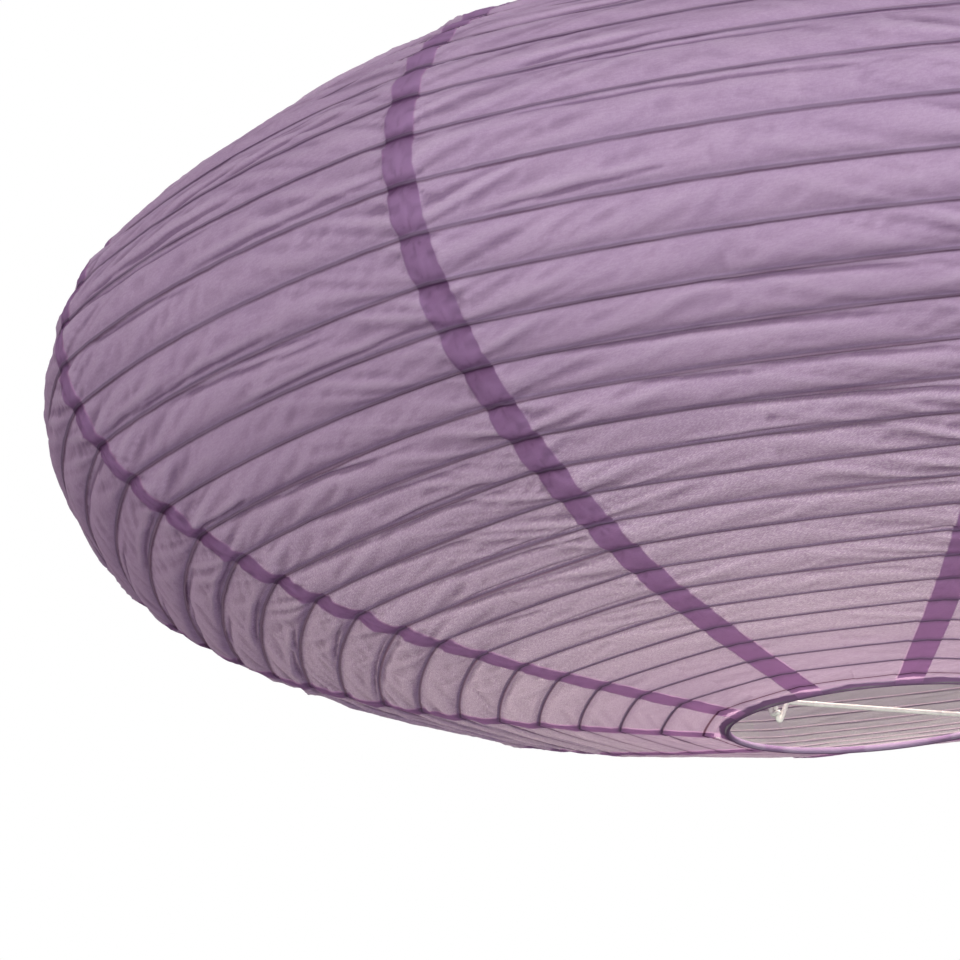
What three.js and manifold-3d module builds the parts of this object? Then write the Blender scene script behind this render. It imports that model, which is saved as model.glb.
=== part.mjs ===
// Hanging lamp with a wide, flat paper lantern for a shade. Millimetres, +Z up.
// The origin is the middle of the ceiling bracket's top face; the lamp hangs below it on the Z axis.
// The shade is ten paper gores glued over one spiral of rib wire between two rings. A wire expander
// holds the rings apart and carries the lampholder. The lower ring and the expander's lower bar
// slide up the expander's legs when the shade is folded.
import * as THREE from "three";
import { mergeVertices } from "three/addons/utils/BufferGeometryUtils.js";
import Module from "manifold-3d";

const wasm = await Module();
wasm.setup();

// ---------- Driving dimensions ----------

const SHADE_RADIUS = 300; // at the equator
const MERIDIAN_LENGTH = 285; // paper length from a rim up to the equator
const RIB_TURNS = 37; // turns of the rib wire from rim to rim
const GORES = 10;
const SEAM_AZIMUTH = -114; // degrees, one of the ten seams
const SEAM_LAP = 10; // width of the glued overlap of two gores
const PAPER = 0.5; // sheet thickness, thicker than the real tissue so that it stays a solid
const CLEARANCE = 0.3;

const RIM_SLOPE = 10; // degrees above the horizontal, where the paper leaves the rim
const SHOULDER_RISE = 41; // degrees gained slowly over the meridian
const SHOULDER_POWER = 9; // how late the last turn to the vertical comes
const CORNER_PULL = 0.006; // the ribs stand this far out at a seam and in between seams, of the radius

const RING_RADIUS = 56;
const RING_WIRE = 1.1; // wire radius
const RING_DROP = 1; // the ring lies this far outside the rim plane
const RIB_WIRE = 0.8;

const EXPANDER_AZIMUTH = 40; // degrees, direction of the lower bar
const EXPANDER_WIRE = 0.9;
const LEG_RADIUS = 49.6; // from the axis to a leg
const BAR_HEIGHT = 3.3; // bar above the ring's plane

const CORD_RADIUS = 3;
const CUP_DEPTH = 42;
const GLAND_LENGTH = 12;
const CORD_DROP = 96; // visible cord
const HOLDER_ABOVE_LOOP = 52; // lampholder's height above the expander's loop

// ---------- Derived places ----------

const COLUMNS = 2 * GORES; // corners of the faceted shade: every seam and every middle of a gore
const ROWS = 20; // profile rows from rim to rim
const SMALL = 14; // facets round a small turned piece
const PIVOT_Z = -CUP_DEPTH - GLAND_LENGTH;
const LOOP_Z = PIVOT_Z - CORD_DROP - HOLDER_ABOVE_LOOP;
const profile = meridian();
const RIM_RADIUS = profile[0].r;
const RIM_TO_RIM = profile[ROWS].z;
const TOP_RIM_Z = LOOP_Z + BAR_HEIGHT - RING_DROP;
const BOTTOM_RIM_Z = TOP_RIM_Z - RIM_TO_RIM;

// ---------- Materials ----------

const finish = (color, roughness, metalness = 0) =>
  new THREE.MeshStandardMaterial({ color, roughness, metalness });
const lilacPaper = () => finish(0xb49abb, 0.9);
const darkWire = () => finish(0x4a3440, 0.6, 0.4);
const whiteWire = () => finish(0xe6e6dd, 0.45, 0.1);
const whitePlastic = () => finish(0xf0efea, 0.4);
const opalPlastic = () => finish(0xfff3e0, 0.35);
const nickel = () => finish(0xb9b6ad, 0.35, 0.9);
const brass = () => finish(0xb5924c, 0.35, 0.9);
const ceramic = () => finish(0xe9e4d8, 0.5);
const blackGlass = () => finish(0x1c1a1c, 0.3);
const boardGreen = () => finish(0x3f6b4a, 0.6);

// ---------- Solids ----------

// A closed geometry as a manifold-3d solid, its shared vertices merged.
function solid(geometry) {
  const plain = geometry.index ? geometry.toNonIndexed() : geometry.clone();
  plain.deleteAttribute("normal");
  plain.deleteAttribute("uv");
  const merged = mergeVertices(plain, 1e-3);
  return new wasm.Manifold(
    new wasm.Mesh({
      numProp: 3,
      vertProperties: merged.attributes.position.array,
      triVerts: new Uint32Array(merged.index.array),
    }),
  );
}

function geometryOf(manifold) {
  const mesh = manifold.getMesh();
  const geometry = new THREE.BufferGeometry();
  geometry.setAttribute("position", new THREE.BufferAttribute(mesh.vertProperties, 3));
  geometry.setIndex(new THREE.BufferAttribute(mesh.triVerts, 1));
  geometry.computeVertexNormals();
  return geometry;
}

const joined = (...geometries) =>
  geometryOf(geometries.map(solid).reduce((sum, next) => sum.add(next)));
const cut = (geometry, ...tools) =>
  geometryOf(tools.map(solid).reduce((rest, tool) => rest.subtract(tool), solid(geometry)));

// A turned piece about Z. The outline runs up its outer side and back down its bore, or from axis to axis.
function turned(outline, segments = SMALL) {
  const points = outline.map(([r, z]) => new THREE.Vector2(r, z));
  if (outline[0][0] > 0) points.push(points[0].clone());
  return new THREE.LatheGeometry(points, segments).rotateX(Math.PI / 2);
}

// A path that steps from one given point to the next.
class StepPath extends THREE.Curve {
  constructor(points) {
    super();
    this.points = points;
  }
  getPoint(t, target = new THREE.Vector3()) {
    const last = this.points.length - 1;
    const step = Math.min(Math.floor(t * last + 1e-6), last - 1);
    return target.lerpVectors(this.points[step], this.points[step + 1], t * last - step);
  }
  getPointAt(t, target) {
    return this.getPoint(t, target);
  }
  getTangentAt(t, target = new THREE.Vector3()) {
    const last = this.points.length - 1;
    const step = Math.round(t * last);
    const before = this.points[Math.max(step - 1, 0)];
    const after = this.points[Math.min(step + 1, last)];
    return target.subVectors(after, before).normalize();
  }
}

// A round wire bent through the given points.
function wire(points, radius, sides = 6) {
  const section = new THREE.Shape();
  for (let side = 0; side < sides; side += 1) {
    const turn = (2 * Math.PI * side) / sides;
    const corner = [radius * Math.cos(turn), radius * Math.sin(turn)];
    if (side === 0) section.moveTo(...corner);
    else section.lineTo(...corner);
  }
  section.closePath();
  return new THREE.ExtrudeGeometry(section, {
    steps: points.length - 1,
    extrudePath: new StepPath(points),
    bevelEnabled: false,
  });
}

const wireRing = (radius, wireRadius, segments) =>
  new THREE.TorusGeometry(radius, wireRadius, 6, segments);

// A flat side view, pushed out to a width that lies centred on the X axis.
function strip(side, width) {
  const shape = new THREE.Shape(side.map(([x, z]) => new THREE.Vector2(x, z)));
  return new THREE.ExtrudeGeometry(shape, { depth: width, bevelEnabled: false })
    .rotateX(Math.PI / 2)
    .translate(0, width / 2, 0);
}

// ---------- Shade outline ----------

// Half an outline from its slope, which grows from the rim to the vertical at the equator, then mirrored.
function meridian() {
  const fine = 20;
  const half = ROWS / 2;
  const step = MERIDIAN_LENGTH / (half * fine);
  const last = 90 - RIM_SLOPE - SHOULDER_RISE;
  const lower = [{ r: 0, z: 0, slope: THREE.MathUtils.degToRad(RIM_SLOPE) }];
  let r = 0;
  let z = 0;
  for (let i = 1; i <= half * fine; i += 1) {
    const s = (i - 0.5) / (half * fine);
    const degrees = RIM_SLOPE + SHOULDER_RISE * s ** 2 + last * s ** SHOULDER_POWER;
    const slope = THREE.MathUtils.degToRad(degrees);
    r += step * Math.cos(slope);
    z += step * Math.sin(slope);
    if (i % fine === 0) lower.push({ r, z, slope });
  }
  lower[half].slope = Math.PI / 2;
  const inset = SHADE_RADIUS - r;
  for (const row of lower) row.r += inset;
  const mirrored = (row) => ({ r: row.r, z: 2 * z - row.z, slope: Math.PI - row.slope });
  return [...lower, ...lower.slice(0, half).reverse().map(mirrored)];
}

// The outline between its rows, in straight steps; t runs from 0 at the lower rim to 1 at the upper one.
function outlineAt(t) {
  const place = Math.min(Math.max(t, 0), 1) * ROWS;
  const row = Math.min(Math.floor(place), ROWS - 1);
  const mix = (key) => THREE.MathUtils.lerp(profile[row][key], profile[row + 1][key], place - row);
  return { r: mix("r"), z: mix("z"), slope: mix("slope") };
}

// A corner of the faceted shade, standing off the sheet by offset along the outline's normal.
function cornerPoint(t, column, offset) {
  const { r, z, slope } = outlineAt(t);
  const pull = column % 2 === 0 ? 1 + CORNER_PULL : 1 - CORNER_PULL;
  const radius = r * pull + offset * Math.sin(slope);
  const turn = THREE.MathUtils.degToRad(SEAM_AZIMUTH + (360 / COLUMNS) * column);
  return new THREE.Vector3(radius * Math.cos(turn), radius * Math.sin(turn), z - offset * Math.cos(slope));
}

// A point on the flat between two corners: shift is the distance past the given corner.
function facePoint(t, column, shift, offset) {
  const from = cornerPoint(t, column, offset);
  if (shift === 0) return from;
  const to = cornerPoint(t, column + Math.sign(shift), offset);
  return from.lerp(to, Math.abs(shift) / from.distanceTo(to));
}

// ---------- Shade pieces ----------

// One gore: a thin sheet from its own seam to the next. Its far edge steps out and laps over the next gore.
function gore(index) {
  const seam = 2 * index;
  const next = seam + 2;
  const lapOffset = PAPER + CLEARANCE;
  const stations = [
    { column: seam, shift: 0.1, offset: 0 },
    { column: seam + 1, shift: 0, offset: 0 },
    { column: next, shift: -4 * CLEARANCE - 0.4, offset: 0 },
    { column: next, shift: -0.4, offset: lapOffset },
    { column: next, shift: SEAM_LAP, offset: lapOffset },
  ];
  const positions = [];
  const across = stations.length;
  for (const side of [PAPER / 2, -PAPER / 2])
    for (let row = 0; row <= ROWS; row += 1)
      for (const { column, shift, offset } of stations) {
        const place = facePoint(row / ROWS, column, shift, offset + side);
        positions.push(place.x, place.y, place.z);
      }
  const at = (side, row, station) => side * (ROWS + 1) * across + row * across + station;
  const faces = [];
  const quad = (a, b, c, d) => faces.push(a, b, c, a, c, d);
  for (let row = 0; row < ROWS; row += 1) {
    for (let s = 0; s < across - 1; s += 1) {
      quad(at(0, row, s), at(0, row, s + 1), at(0, row + 1, s + 1), at(0, row + 1, s));
      quad(at(1, row, s), at(1, row + 1, s), at(1, row + 1, s + 1), at(1, row, s + 1));
    }
    quad(at(0, row, 0), at(0, row + 1, 0), at(1, row + 1, 0), at(1, row, 0));
    const e = across - 1;
    quad(at(0, row, e), at(1, row, e), at(1, row + 1, e), at(0, row + 1, e));
  }
  for (let s = 0; s < across - 1; s += 1) {
    quad(at(0, 0, s), at(1, 0, s), at(1, 0, s + 1), at(0, 0, s + 1));
    quad(at(0, ROWS, s), at(0, ROWS, s + 1), at(1, ROWS, s + 1), at(1, ROWS, s));
  }
  const geometry = new THREE.BufferGeometry();
  geometry.setAttribute("position", new THREE.Float32BufferAttribute(positions, 3));
  geometry.setIndex(faces);
  geometry.computeVertexNormals();
  return geometry;
}

// The rib wire: one spiral just inside the paper, which drops by one pitch as it goes once round.
function ribSpiral() {
  const inside = -(PAPER / 2 + 2 * CLEARANCE + RIB_WIRE);
  const margin = 24 / 360; // of a turn, free of the rims
  const points = [];
  const steps = Math.round((RIB_TURNS - 2 * margin) * COLUMNS);
  for (let step = 0; step <= steps; step += 1) {
    const t = (margin + step / COLUMNS) / RIB_TURNS;
    points.push(cornerPoint(t, -step, inside));
  }
  return wire(points, RIB_WIRE, 3);
}

// The paper turned in round a ring: outline of the lower hem, which goes under the ring and back over it.
function hem() {
  const inner = RING_WIRE + CLEARANCE;
  const outer = inner + PAPER;
  const edge = RIM_RADIUS - 3 * CLEARANCE;
  const turnedIn = RING_RADIUS + 2.6;
  // Five corners of a half circle round the ring, from below it to above it.
  const round = (radius) =>
    [-2, -1, 0, 1, 2].map((corner) => {
      const turn = (corner * Math.PI) / 4;
      return [RING_RADIUS - radius * Math.cos(turn), radius * Math.sin(turn) - RING_DROP];
    });
  const outline = [
    [edge, -PAPER],
    [edge, 0],
    [RING_RADIUS + 2.2, -RING_DROP - 0.2],
    ...round(inner),
    [turnedIn, inner - RING_DROP],
    [turnedIn, outer - RING_DROP],
    ...round(outer).reverse(),
    [RING_RADIUS + 2.2, -RING_DROP - 0.2 - 1.2 * PAPER],
  ];
  return turned(outline, COLUMNS);
}

// ---------- Expander ----------

const along = (x, z, y = 0) => new THREE.Vector3(x, y, z);

// One end of a bar, on the +X side: a dip below the bar, an eye round the leg and a foot over the ring.
function barEnd() {
  const eyeRadius = 2 * EXPANDER_WIRE + CLEARANCE + 0.05;
  const dip = wire(
    [
      along(30, BAR_HEIGHT),
      along(38, BAR_HEIGHT),
      along(39.8, 2.6),
      along(41.6, 0),
      along(43.2, -2.6),
      along(44.4, -3.7),
      along(45.6, -3.1),
      along(46.4, -1),
      along(47, 1.6),
      along(LEG_RADIUS - eyeRadius - 0.1, BAR_HEIGHT),
    ],
    EXPANDER_WIRE,
  );
  const eye = wireRing(eyeRadius, EXPANDER_WIRE, 12).translate(LEG_RADIUS, 0, BAR_HEIGHT);
  const foot = wire(
    [along(LEG_RADIUS + eyeRadius, BAR_HEIGHT), along(54.6, 3.1), along(57.4, 2.9)],
    EXPANDER_WIRE,
  );
  return [dip, eye, foot];
}

const BAR_REACH = 31; // half of a bar's straight middle
const straight = (from, to) => wire([along(from, BAR_HEIGHT), along(to, BAR_HEIGHT)], EXPANDER_WIRE);
const expanderEnds = () => [...barEnd(), ...barEnd().map((piece) => piece.rotateZ(Math.PI))];
const lowerBar = () => joined(straight(-BAR_REACH, BAR_REACH), ...expanderEnds());

// The upper bridge is the lower bar turned over, with a loop in its middle for the lampholder.
const LOOP_RADIUS = 21.5;
function upperBridge() {
  const loop = wireRing(LOOP_RADIUS, EXPANDER_WIRE, 20).translate(0, 0, BAR_HEIGHT);
  const sides = [1, -1].map((side) => straight(side * LOOP_RADIUS, side * BAR_REACH));
  return joined(loop, ...sides, ...expanderEnds()).rotateX(Math.PI);
}

// A leg, with both ends bent over so that the eyes can't slip off it.
function leg() {
  const past = 2; // beyond each ring's plane
  const hook = 4.5;
  const end = (z, inward) => [
    along(LEG_RADIUS, z, hook),
    along(LEG_RADIUS, z, 1),
    along(LEG_RADIUS, z + inward, 0),
  ];
  const low = end(-past, 1);
  const high = end(RIM_TO_RIM + 2 * RING_DROP + past, -1);
  return wire([...low, ...high.reverse()], EXPANDER_WIRE);
}

// ---------- Lampholder, heights above the expander's loop ----------

const HOLDER_RADIUS = 20;
// The corners of a faceted pin clear the flats of a bore of this radius, however it is turned.
const boreAround = (radius) => radius / Math.cos(Math.PI / SMALL) + CLEARANCE;
const holderSkirt = () =>
  turned([
    [16.2, -22],
    [HOLDER_RADIUS - 1, -22],
    [HOLDER_RADIUS, -21],
    [HOLDER_RADIUS, 1.3],
    [23.5, 1.3],
    [23.5, 4.3],
    [21, 6],
    [21, 20],
    [16.2, 20],
  ]);
const holderCap = () =>
  turned([
    [18.6, 20.4],
    [21, 20.4],
    [21, 34],
    [19, 41],
    [13, 47],
    [7, 50],
    [7, 52],
    [3.5, 52],
    [3.5, 48.5],
    [11, 45.5],
    [17, 40],
    [18.6, 33],
  ]);
const shadeRing = () =>
  turned([
    [boreAround(HOLDER_RADIUS), -8],
    [24, -8],
    [25, -7],
    [25, -2.3],
    [24, -1.3],
    [boreAround(HOLDER_RADIUS), -1.3],
  ]);
const socketShell = () =>
  turned([
    [14.4, -17],
    [15.2, -17],
    [15.2, 3.4],
    [14.4, 3.4],
  ]);
const socketBase = () =>
  turned([
    [0, 4],
    [15.6, 4],
    [15.6, 10],
    [0, 10],
  ]);
const cordClamp = () =>
  turned([
    [CORD_RADIUS + 0.4, 37],
    [6.5, 37],
    [6.5, 43],
    [CORD_RADIUS + 0.4, 43],
  ]);

// The spring tongue that presses on the bulb's tip.
function centreContact() {
  const underside = [[-9, 3.1], [-3, 3.1], [0, 1.95], [3, 2.5]];
  const upperSide = underside.map(([x, z]) => [x, z + 0.5]).reverse();
  return strip([...underside, ...upperSide], 5);
}

const terminalScrew = () =>
  turned([
    [0, 10.4],
    [2.2, 10.4],
    [2.2, 13],
    [1.6, 13.8],
    [0, 13.8],
  ], 10);
const terminalWire = (side) => {
  const bends = [[1.3, 33.6], [1.8, 29], [6.5, 21], [8, 16], [8, 14.3]];
  return wire(bends.map(([x, z]) => along(side * x, z)), 0.8);
};

// ---------- Bulb, heights above the expander's loop ----------

const CAP_THREADS = 4;
const THREAD_PITCH = 3.6;
const bulbCap = () => {
  const outline = [[12.3, -21.2], [13, -21.2]];
  for (let turn = 0; turn < CAP_THREADS; turn += 1) {
    const z = -19.5 + turn * THREAD_PITCH;
    outline.push([12.9, z], [13.6, z + THREAD_PITCH / 2]);
  }
  outline.push([13, -4.4], [10.6, -1], [10, -1], [10, -1.8], [12.3, -4.8]);
  return turned(outline);
};
const bulbInsulator = () =>
  turned([
    [0, -1.5],
    [9.6, -1.5],
    [9.6, -0.9],
    [5, 0.6],
    [0, 0.6],
  ]);
const bulbTip = () =>
  turned([
    [0, 0.9],
    [4.4, 0.9],
    [3, 1.6],
    [0, 1.6],
  ], 10);
const bulbBody = () =>
  turned([
    [20.6, -44],
    [22, -44],
    [21, -38],
    [17, -28],
    [14.2, -21.6],
    [11.9, -21.6],
    [11.9, -8],
    [10.8, -8],
    [10.8, -22.4],
    [15.4, -29],
    [19.4, -38],
  ]);
const ledBoard = () =>
  turned([
    [0, -42.8],
    [18.8, -42.8],
    [18.8, -41.3],
    [0, -41.3],
  ]);
const driverBoard = () => new THREE.BoxGeometry(14, 7, 22).translate(0, 0, -21);

const DIFFUSER_RADIUS = 24;
const DIFFUSER_WALL = 1.2;
function bulbDiffuser() {
  const seat = -44.4;
  const centre = seat - Math.sqrt(DIFFUSER_RADIUS ** 2 - 22 ** 2);
  const arc = (radius, count, reverse) => {
    const open = Math.acos((seat - centre) / radius);
    const places = Array.from({ length: count + 1 }, (_, i) => {
      const turn = Math.PI - ((Math.PI - open) * i) / count;
      return [radius * Math.sin(turn), centre + radius * Math.cos(turn)];
    });
    places[0][0] = 0;
    return reverse ? places.reverse() : places;
  };
  return turned([...arc(DIFFUSER_RADIUS, 9, false), ...arc(DIFFUSER_RADIUS - DIFFUSER_WALL, 9, true)]);
}

// ---------- Cord and ceiling fitting ----------

const roundBar = (radius, low, high, segments = SMALL) =>
  turned([[0, low], [radius, low], [radius, high], [0, high]], segments);

const ceilingCup = () => {
  const wall = [
    [5, -CUP_DEPTH],
    [36, -CUP_DEPTH],
    [41, -39],
    [43, -33],
    [45, -0.5],
    [43.4, -0.5],
    [41.4, -32.6],
    [39.6, -37.6],
    [35.4, -40.4],
    [5, -40.4],
  ];
  return cut(turned(wall, 28), sideHole(2.5));
};
const cupGland = () =>
  turned([
    [CORD_RADIUS + 0.4, PIVOT_Z],
    [5.5, PIVOT_Z],
    [8, PIVOT_Z + 4],
    [8, -CUP_DEPTH - 0.3],
    [4.6, -CUP_DEPTH - 0.3],
    [4.6, -34],
    [CORD_RADIUS + 0.4, -34],
  ]);

const SCREW_Z = -7;
const sideHole = (radius) =>
  new THREE.CylinderGeometry(radius, radius, 110, 12).rotateZ(Math.PI / 2).translate(0, 0, SCREW_Z);

// A steel strap with two ears turned down, which take the cup's side screws.
function ceilingBracket() {
  const reach = 41;
  const strap = 2;
  const ear = -12;
  const rightHalf = [[reach - strap, -strap], [reach - strap, ear], [reach, ear], [reach, 0]];
  const leftHalf = rightHalf.map(([x, z]) => [-x, z]).reverse();
  const plate = strip([...leftHalf, ...rightHalf], 16);
  const ceilingHole = (x) =>
    new THREE.CylinderGeometry(2.4, 2.4, 10, 12).rotateX(Math.PI / 2).translate(x, 0, 0);
  return cut(plate, sideHole(2.3), ceilingHole(24), ceilingHole(-24));
}

// A knurled side screw, its head outside the cup on the +X side.
const cupScrew = () => {
  const shank = [[0, 36], [1.9, 36], [1.9, 45.4]];
  const head = [[4.2, 45.4], [4.6, 46], [4.6, 49], [4, 49.6], [0, 49.6]];
  return turned([...shank, ...head], 12).rotateY(Math.PI / 2).translate(0, 0, SCREW_Z);
};
const terminalBlock = () => new THREE.BoxGeometry(22, 13, 11).translate(0, 0, -8.2);

// ---------- The lamp ----------

const lamp = new THREE.Group();

function place(parent, name, geometry, material) {
  const mesh = new THREE.Mesh(geometry, material);
  mesh.name = name;
  parent.add(mesh);
  return mesh;
}

const ceiling = new THREE.Group();
place(ceiling, "ceiling_bracket", ceilingBracket(), nickel());
place(ceiling, "ceiling_cup", ceilingCup(), whitePlastic());
place(ceiling, "cup_gland", cupGland(), whitePlastic());
place(ceiling, "cup_screw_right", cupScrew(), nickel());
place(ceiling, "cup_screw_left", cupScrew(), nickel()).rotation.z = Math.PI;
place(ceiling, "terminal_block", terminalBlock(), whitePlastic());
place(ceiling, "cord_tail", roundBar(CORD_RADIUS, PIVOT_Z + 1.5, -14.2), whitePlastic());
place(ceiling, "cord", roundBar(CORD_RADIUS, LOOP_Z + 34, PIVOT_Z - 0.5), whitePlastic());
lamp.add(ceiling);

const holder = new THREE.Group();
holder.position.z = LOOP_Z;
place(holder, "holder_cap", holderCap(), whitePlastic());
place(holder, "holder_skirt", holderSkirt(), whitePlastic());
place(holder, "shade_ring", shadeRing(), whitePlastic());
place(holder, "socket_shell", socketShell(), brass());
place(holder, "socket_base", socketBase(), ceramic());
place(holder, "centre_contact", centreContact(), brass());
place(holder, "cord_clamp", cordClamp(), whitePlastic());
for (const [name, side] of [["right", 1], ["left", -1]]) {
  place(holder, `terminal_screw_${name}`, terminalScrew(), brass()).position.x = 8 * side;
  place(holder, `terminal_wire_${name}`, terminalWire(side), brass());
}
place(holder, "bulb_cap", bulbCap(), nickel());
place(holder, "bulb_insulator", bulbInsulator(), blackGlass());
place(holder, "bulb_tip", bulbTip(), nickel());
place(holder, "bulb_body", bulbBody(), whitePlastic());
place(holder, "bulb_diffuser", bulbDiffuser(), opalPlastic());
place(holder, "led_board", ledBoard(), boardGreen());
place(holder, "driver_board", driverBoard(), boardGreen());
lamp.add(holder);

const shade = new THREE.Group();
shade.position.z = BOTTOM_RIM_Z;
for (let index = 0; index < GORES; index += 1)
  place(shade, `paper_gore_${String(index + 1).padStart(2, "0")}`, gore(index), lilacPaper());
place(shade, "rib_spiral", ribSpiral(), darkWire());

const seamTurn = THREE.MathUtils.degToRad(SEAM_AZIMUTH);
const bottomRing = place(shade, "bottom_ring", wireRing(RING_RADIUS, RING_WIRE, COLUMNS), darkWire());
bottomRing.position.z = -RING_DROP;
bottomRing.rotation.z = seamTurn;
const topRing = place(shade, "top_ring", wireRing(RING_RADIUS, RING_WIRE, COLUMNS), darkWire());
topRing.position.z = RIM_TO_RIM + RING_DROP;
topRing.rotation.z = seamTurn;
// The turned pieces start on the Y axis, a quarter turn from the rings' first corner.
place(shade, "bottom_hem", hem(), lilacPaper()).rotation.z = seamTurn + Math.PI / 2;
const topHem = place(shade, "top_hem", hem().rotateX(Math.PI), lilacPaper());
topHem.position.z = RIM_TO_RIM;
topHem.rotation.z = seamTurn + Math.PI / 2;

const expander = new THREE.Group();
expander.position.z = -RING_DROP;
expander.rotation.z = THREE.MathUtils.degToRad(EXPANDER_AZIMUTH);
place(expander, "expander_bar_lower", lowerBar(), whiteWire());
place(expander, "expander_bridge_upper", upperBridge(), whiteWire()).position.z = RIM_TO_RIM + 2 * RING_DROP;
place(expander, "expander_leg_right", leg(), whiteWire());
place(expander, "expander_leg_left", leg(), whiteWire()).rotation.z = Math.PI;
shade.add(expander);
lamp.add(shade);

export default lamp;
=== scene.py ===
# Looks for a hanging lamp: a lilac paper lantern shade on a wire expander, with its lampholder, bulb, cord
# and ceiling cup. Metres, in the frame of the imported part: +Z up, the ceiling face at the origin.
import math
from types import SimpleNamespace

import bpy
import numpy as np
from mathutils import Matrix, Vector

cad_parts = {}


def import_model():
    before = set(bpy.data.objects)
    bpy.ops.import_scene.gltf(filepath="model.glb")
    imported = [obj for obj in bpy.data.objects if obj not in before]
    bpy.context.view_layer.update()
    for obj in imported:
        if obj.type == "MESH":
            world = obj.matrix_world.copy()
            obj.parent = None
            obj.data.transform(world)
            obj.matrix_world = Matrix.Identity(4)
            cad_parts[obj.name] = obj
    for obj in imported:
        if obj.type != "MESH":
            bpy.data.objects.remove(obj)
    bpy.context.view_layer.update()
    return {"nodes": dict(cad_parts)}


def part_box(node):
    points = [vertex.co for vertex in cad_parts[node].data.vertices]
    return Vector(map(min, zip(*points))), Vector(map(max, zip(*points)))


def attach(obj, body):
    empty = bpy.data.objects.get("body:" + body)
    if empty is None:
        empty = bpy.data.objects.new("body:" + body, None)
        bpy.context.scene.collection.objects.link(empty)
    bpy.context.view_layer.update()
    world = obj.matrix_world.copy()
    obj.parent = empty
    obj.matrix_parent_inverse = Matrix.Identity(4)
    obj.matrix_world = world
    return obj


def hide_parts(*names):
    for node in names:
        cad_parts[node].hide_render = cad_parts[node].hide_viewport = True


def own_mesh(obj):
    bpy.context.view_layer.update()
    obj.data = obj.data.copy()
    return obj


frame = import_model()

MM = 0.001

# ---------- Shade dimensions ----------

SHADE_RADIUS = 300 * MM
HALF_MERIDIAN = 285 * MM      # paper length from a rim up to the equator
STRIPS = 37                   # paper strips between the rib turns, from rim to rim
GORES = 10
SEAM_AZIMUTH = -114.0         # degrees, one of the ten seams
GORE_ANGLE = 360.0 / GORES
END_AZIMUTH = SEAM_AZIMUTH + 6 * GORE_ANGLE        # the far side's seam, where the rib wire starts and ends
PHASE_AZIMUTH = -90.0         # where the rib turns stand at whole strips
LAP_HALF = 5.2 * MM           # half the width of a glued overlap
LAP_STEP = 0.35 * MM          # how far the upper layer of an overlap stands off
# The outline's slope in degrees: at a rim, what a steady rise adds, and how late it turns upright
RIM_SLOPE, SHOULDER_RISE, SHOULDER_POWER = 10.0, 41.0, 9.0
CORNER_AT_RIM, CORNER_AT_EQUATOR = 0.018, 0.0058   # how ten-sided the shade is, as a share of the radius
CORNER_BEND = 2.28            # from a gore's middle to a seam the radius grows by so many of those shares

RING_RADIUS = 56 * MM
RING_WIRE = 1.1 * MM
RING_DROP = 1 * MM
RIB_WIRE = 0.45 * MM
RIB_UNDER_PAPER = 0.35 * MM
FIRST_LINE = 3 * MM           # the rib turn nearest the ring shows through this far up from the rim, as a line with a painted shadow
EXPANDER_WIRE = 0.9 * MM
EXPANDER_AZIMUTH = 40.0
LEG_RADIUS = 49.6 * MM
BAR_HEIGHT = 3.3 * MM

# ---------- Places, from the frame ----------


def middle_z(node):
    low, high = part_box(node)
    return (low.z + high.z) / 2


LOWER_RING_Z = middle_z("bottom_ring")
UPPER_RING_Z = middle_z("top_ring")
BOTTOM_RIM_Z = LOWER_RING_Z + RING_DROP
TOP_RIM_Z = UPPER_RING_Z - RING_DROP
LOOP_Z = UPPER_RING_Z - BAR_HEIGHT

# ---------- Noise ----------


def smooth(x):
    x = np.clip(x, 0, 1)
    return x * x * (3 - 2 * x)


def hashed(i, j, seed):
    """A fixed number from 0 to 1 for each pair of whole numbers."""
    n = np.asarray(i, np.int64) * 374761393 + np.asarray(j, np.int64) * 668265263
    n = (n + seed * 974634777) & 0xFFFFFFFF
    n = ((n ^ (n >> 13)) * 1274126177) & 0xFFFFFFFF
    return ((n ^ (n >> 16)) & 0xFFFF) / 65535.0


def noise(x, y, seed):
    """Smooth noise from -1 to 1, one value to each whole step of x and y."""
    i, j = np.floor(x).astype(np.int64), np.floor(y).astype(np.int64)
    u, v = smooth(x - i), smooth(y - j)
    low = hashed(i, j, seed) * (1 - u) + hashed(i + 1, j, seed) * u
    high = hashed(i, j + 1, seed) * (1 - u) + hashed(i + 1, j + 1, seed) * u
    return 2 * (low * (1 - v) + high * v) - 1


def creased(x, y, seed):
    """Noise with sharp ridges, from 0 to 1."""
    return 1 - np.abs(noise(x, y, seed))


# ---------- Shade outline ----------


def shade_outline():
    """Radius, height above the lower rim and slope, at even steps of the meridian from rim to rim."""
    count = 600
    s = (np.arange(count) + 0.5) / count
    rise = RIM_SLOPE + SHOULDER_RISE * s ** 2
    slope = np.radians(rise + (90 - RIM_SLOPE - SHOULDER_RISE) * s ** SHOULDER_POWER)
    step = HALF_MERIDIAN / count
    r = np.concatenate([[0], np.cumsum(step * np.cos(slope))])
    z = np.concatenate([[0], np.cumsum(step * np.sin(slope))])
    slope = np.concatenate([[math.radians(RIM_SLOPE)], slope])
    r += SHADE_RADIUS - r[-1]
    return (
        np.concatenate([r, r[-2::-1]]),
        np.concatenate([z, 2 * z[-1] - z[-2::-1]]),
        np.concatenate([slope, math.pi - slope[-2::-1]]),
    )


OUTLINE_R, OUTLINE_Z, OUTLINE_SLOPE = shade_outline()
OUTLINE_T = np.linspace(0, 1, len(OUTLINE_R))
RIM_RADIUS = OUTLINE_R[0]


def turn_share(azimuth):
    """How far round from the phase azimuth, in turns."""
    return (azimuth - PHASE_AZIMUTH) / 360


LAST_SHARE = turn_share(END_AZIMUTH)
FIRST_SHARE = LAST_SHARE - 1
END_SHARE = 0.11              # share of a turn over which a wire end comes down on its rim


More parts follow.
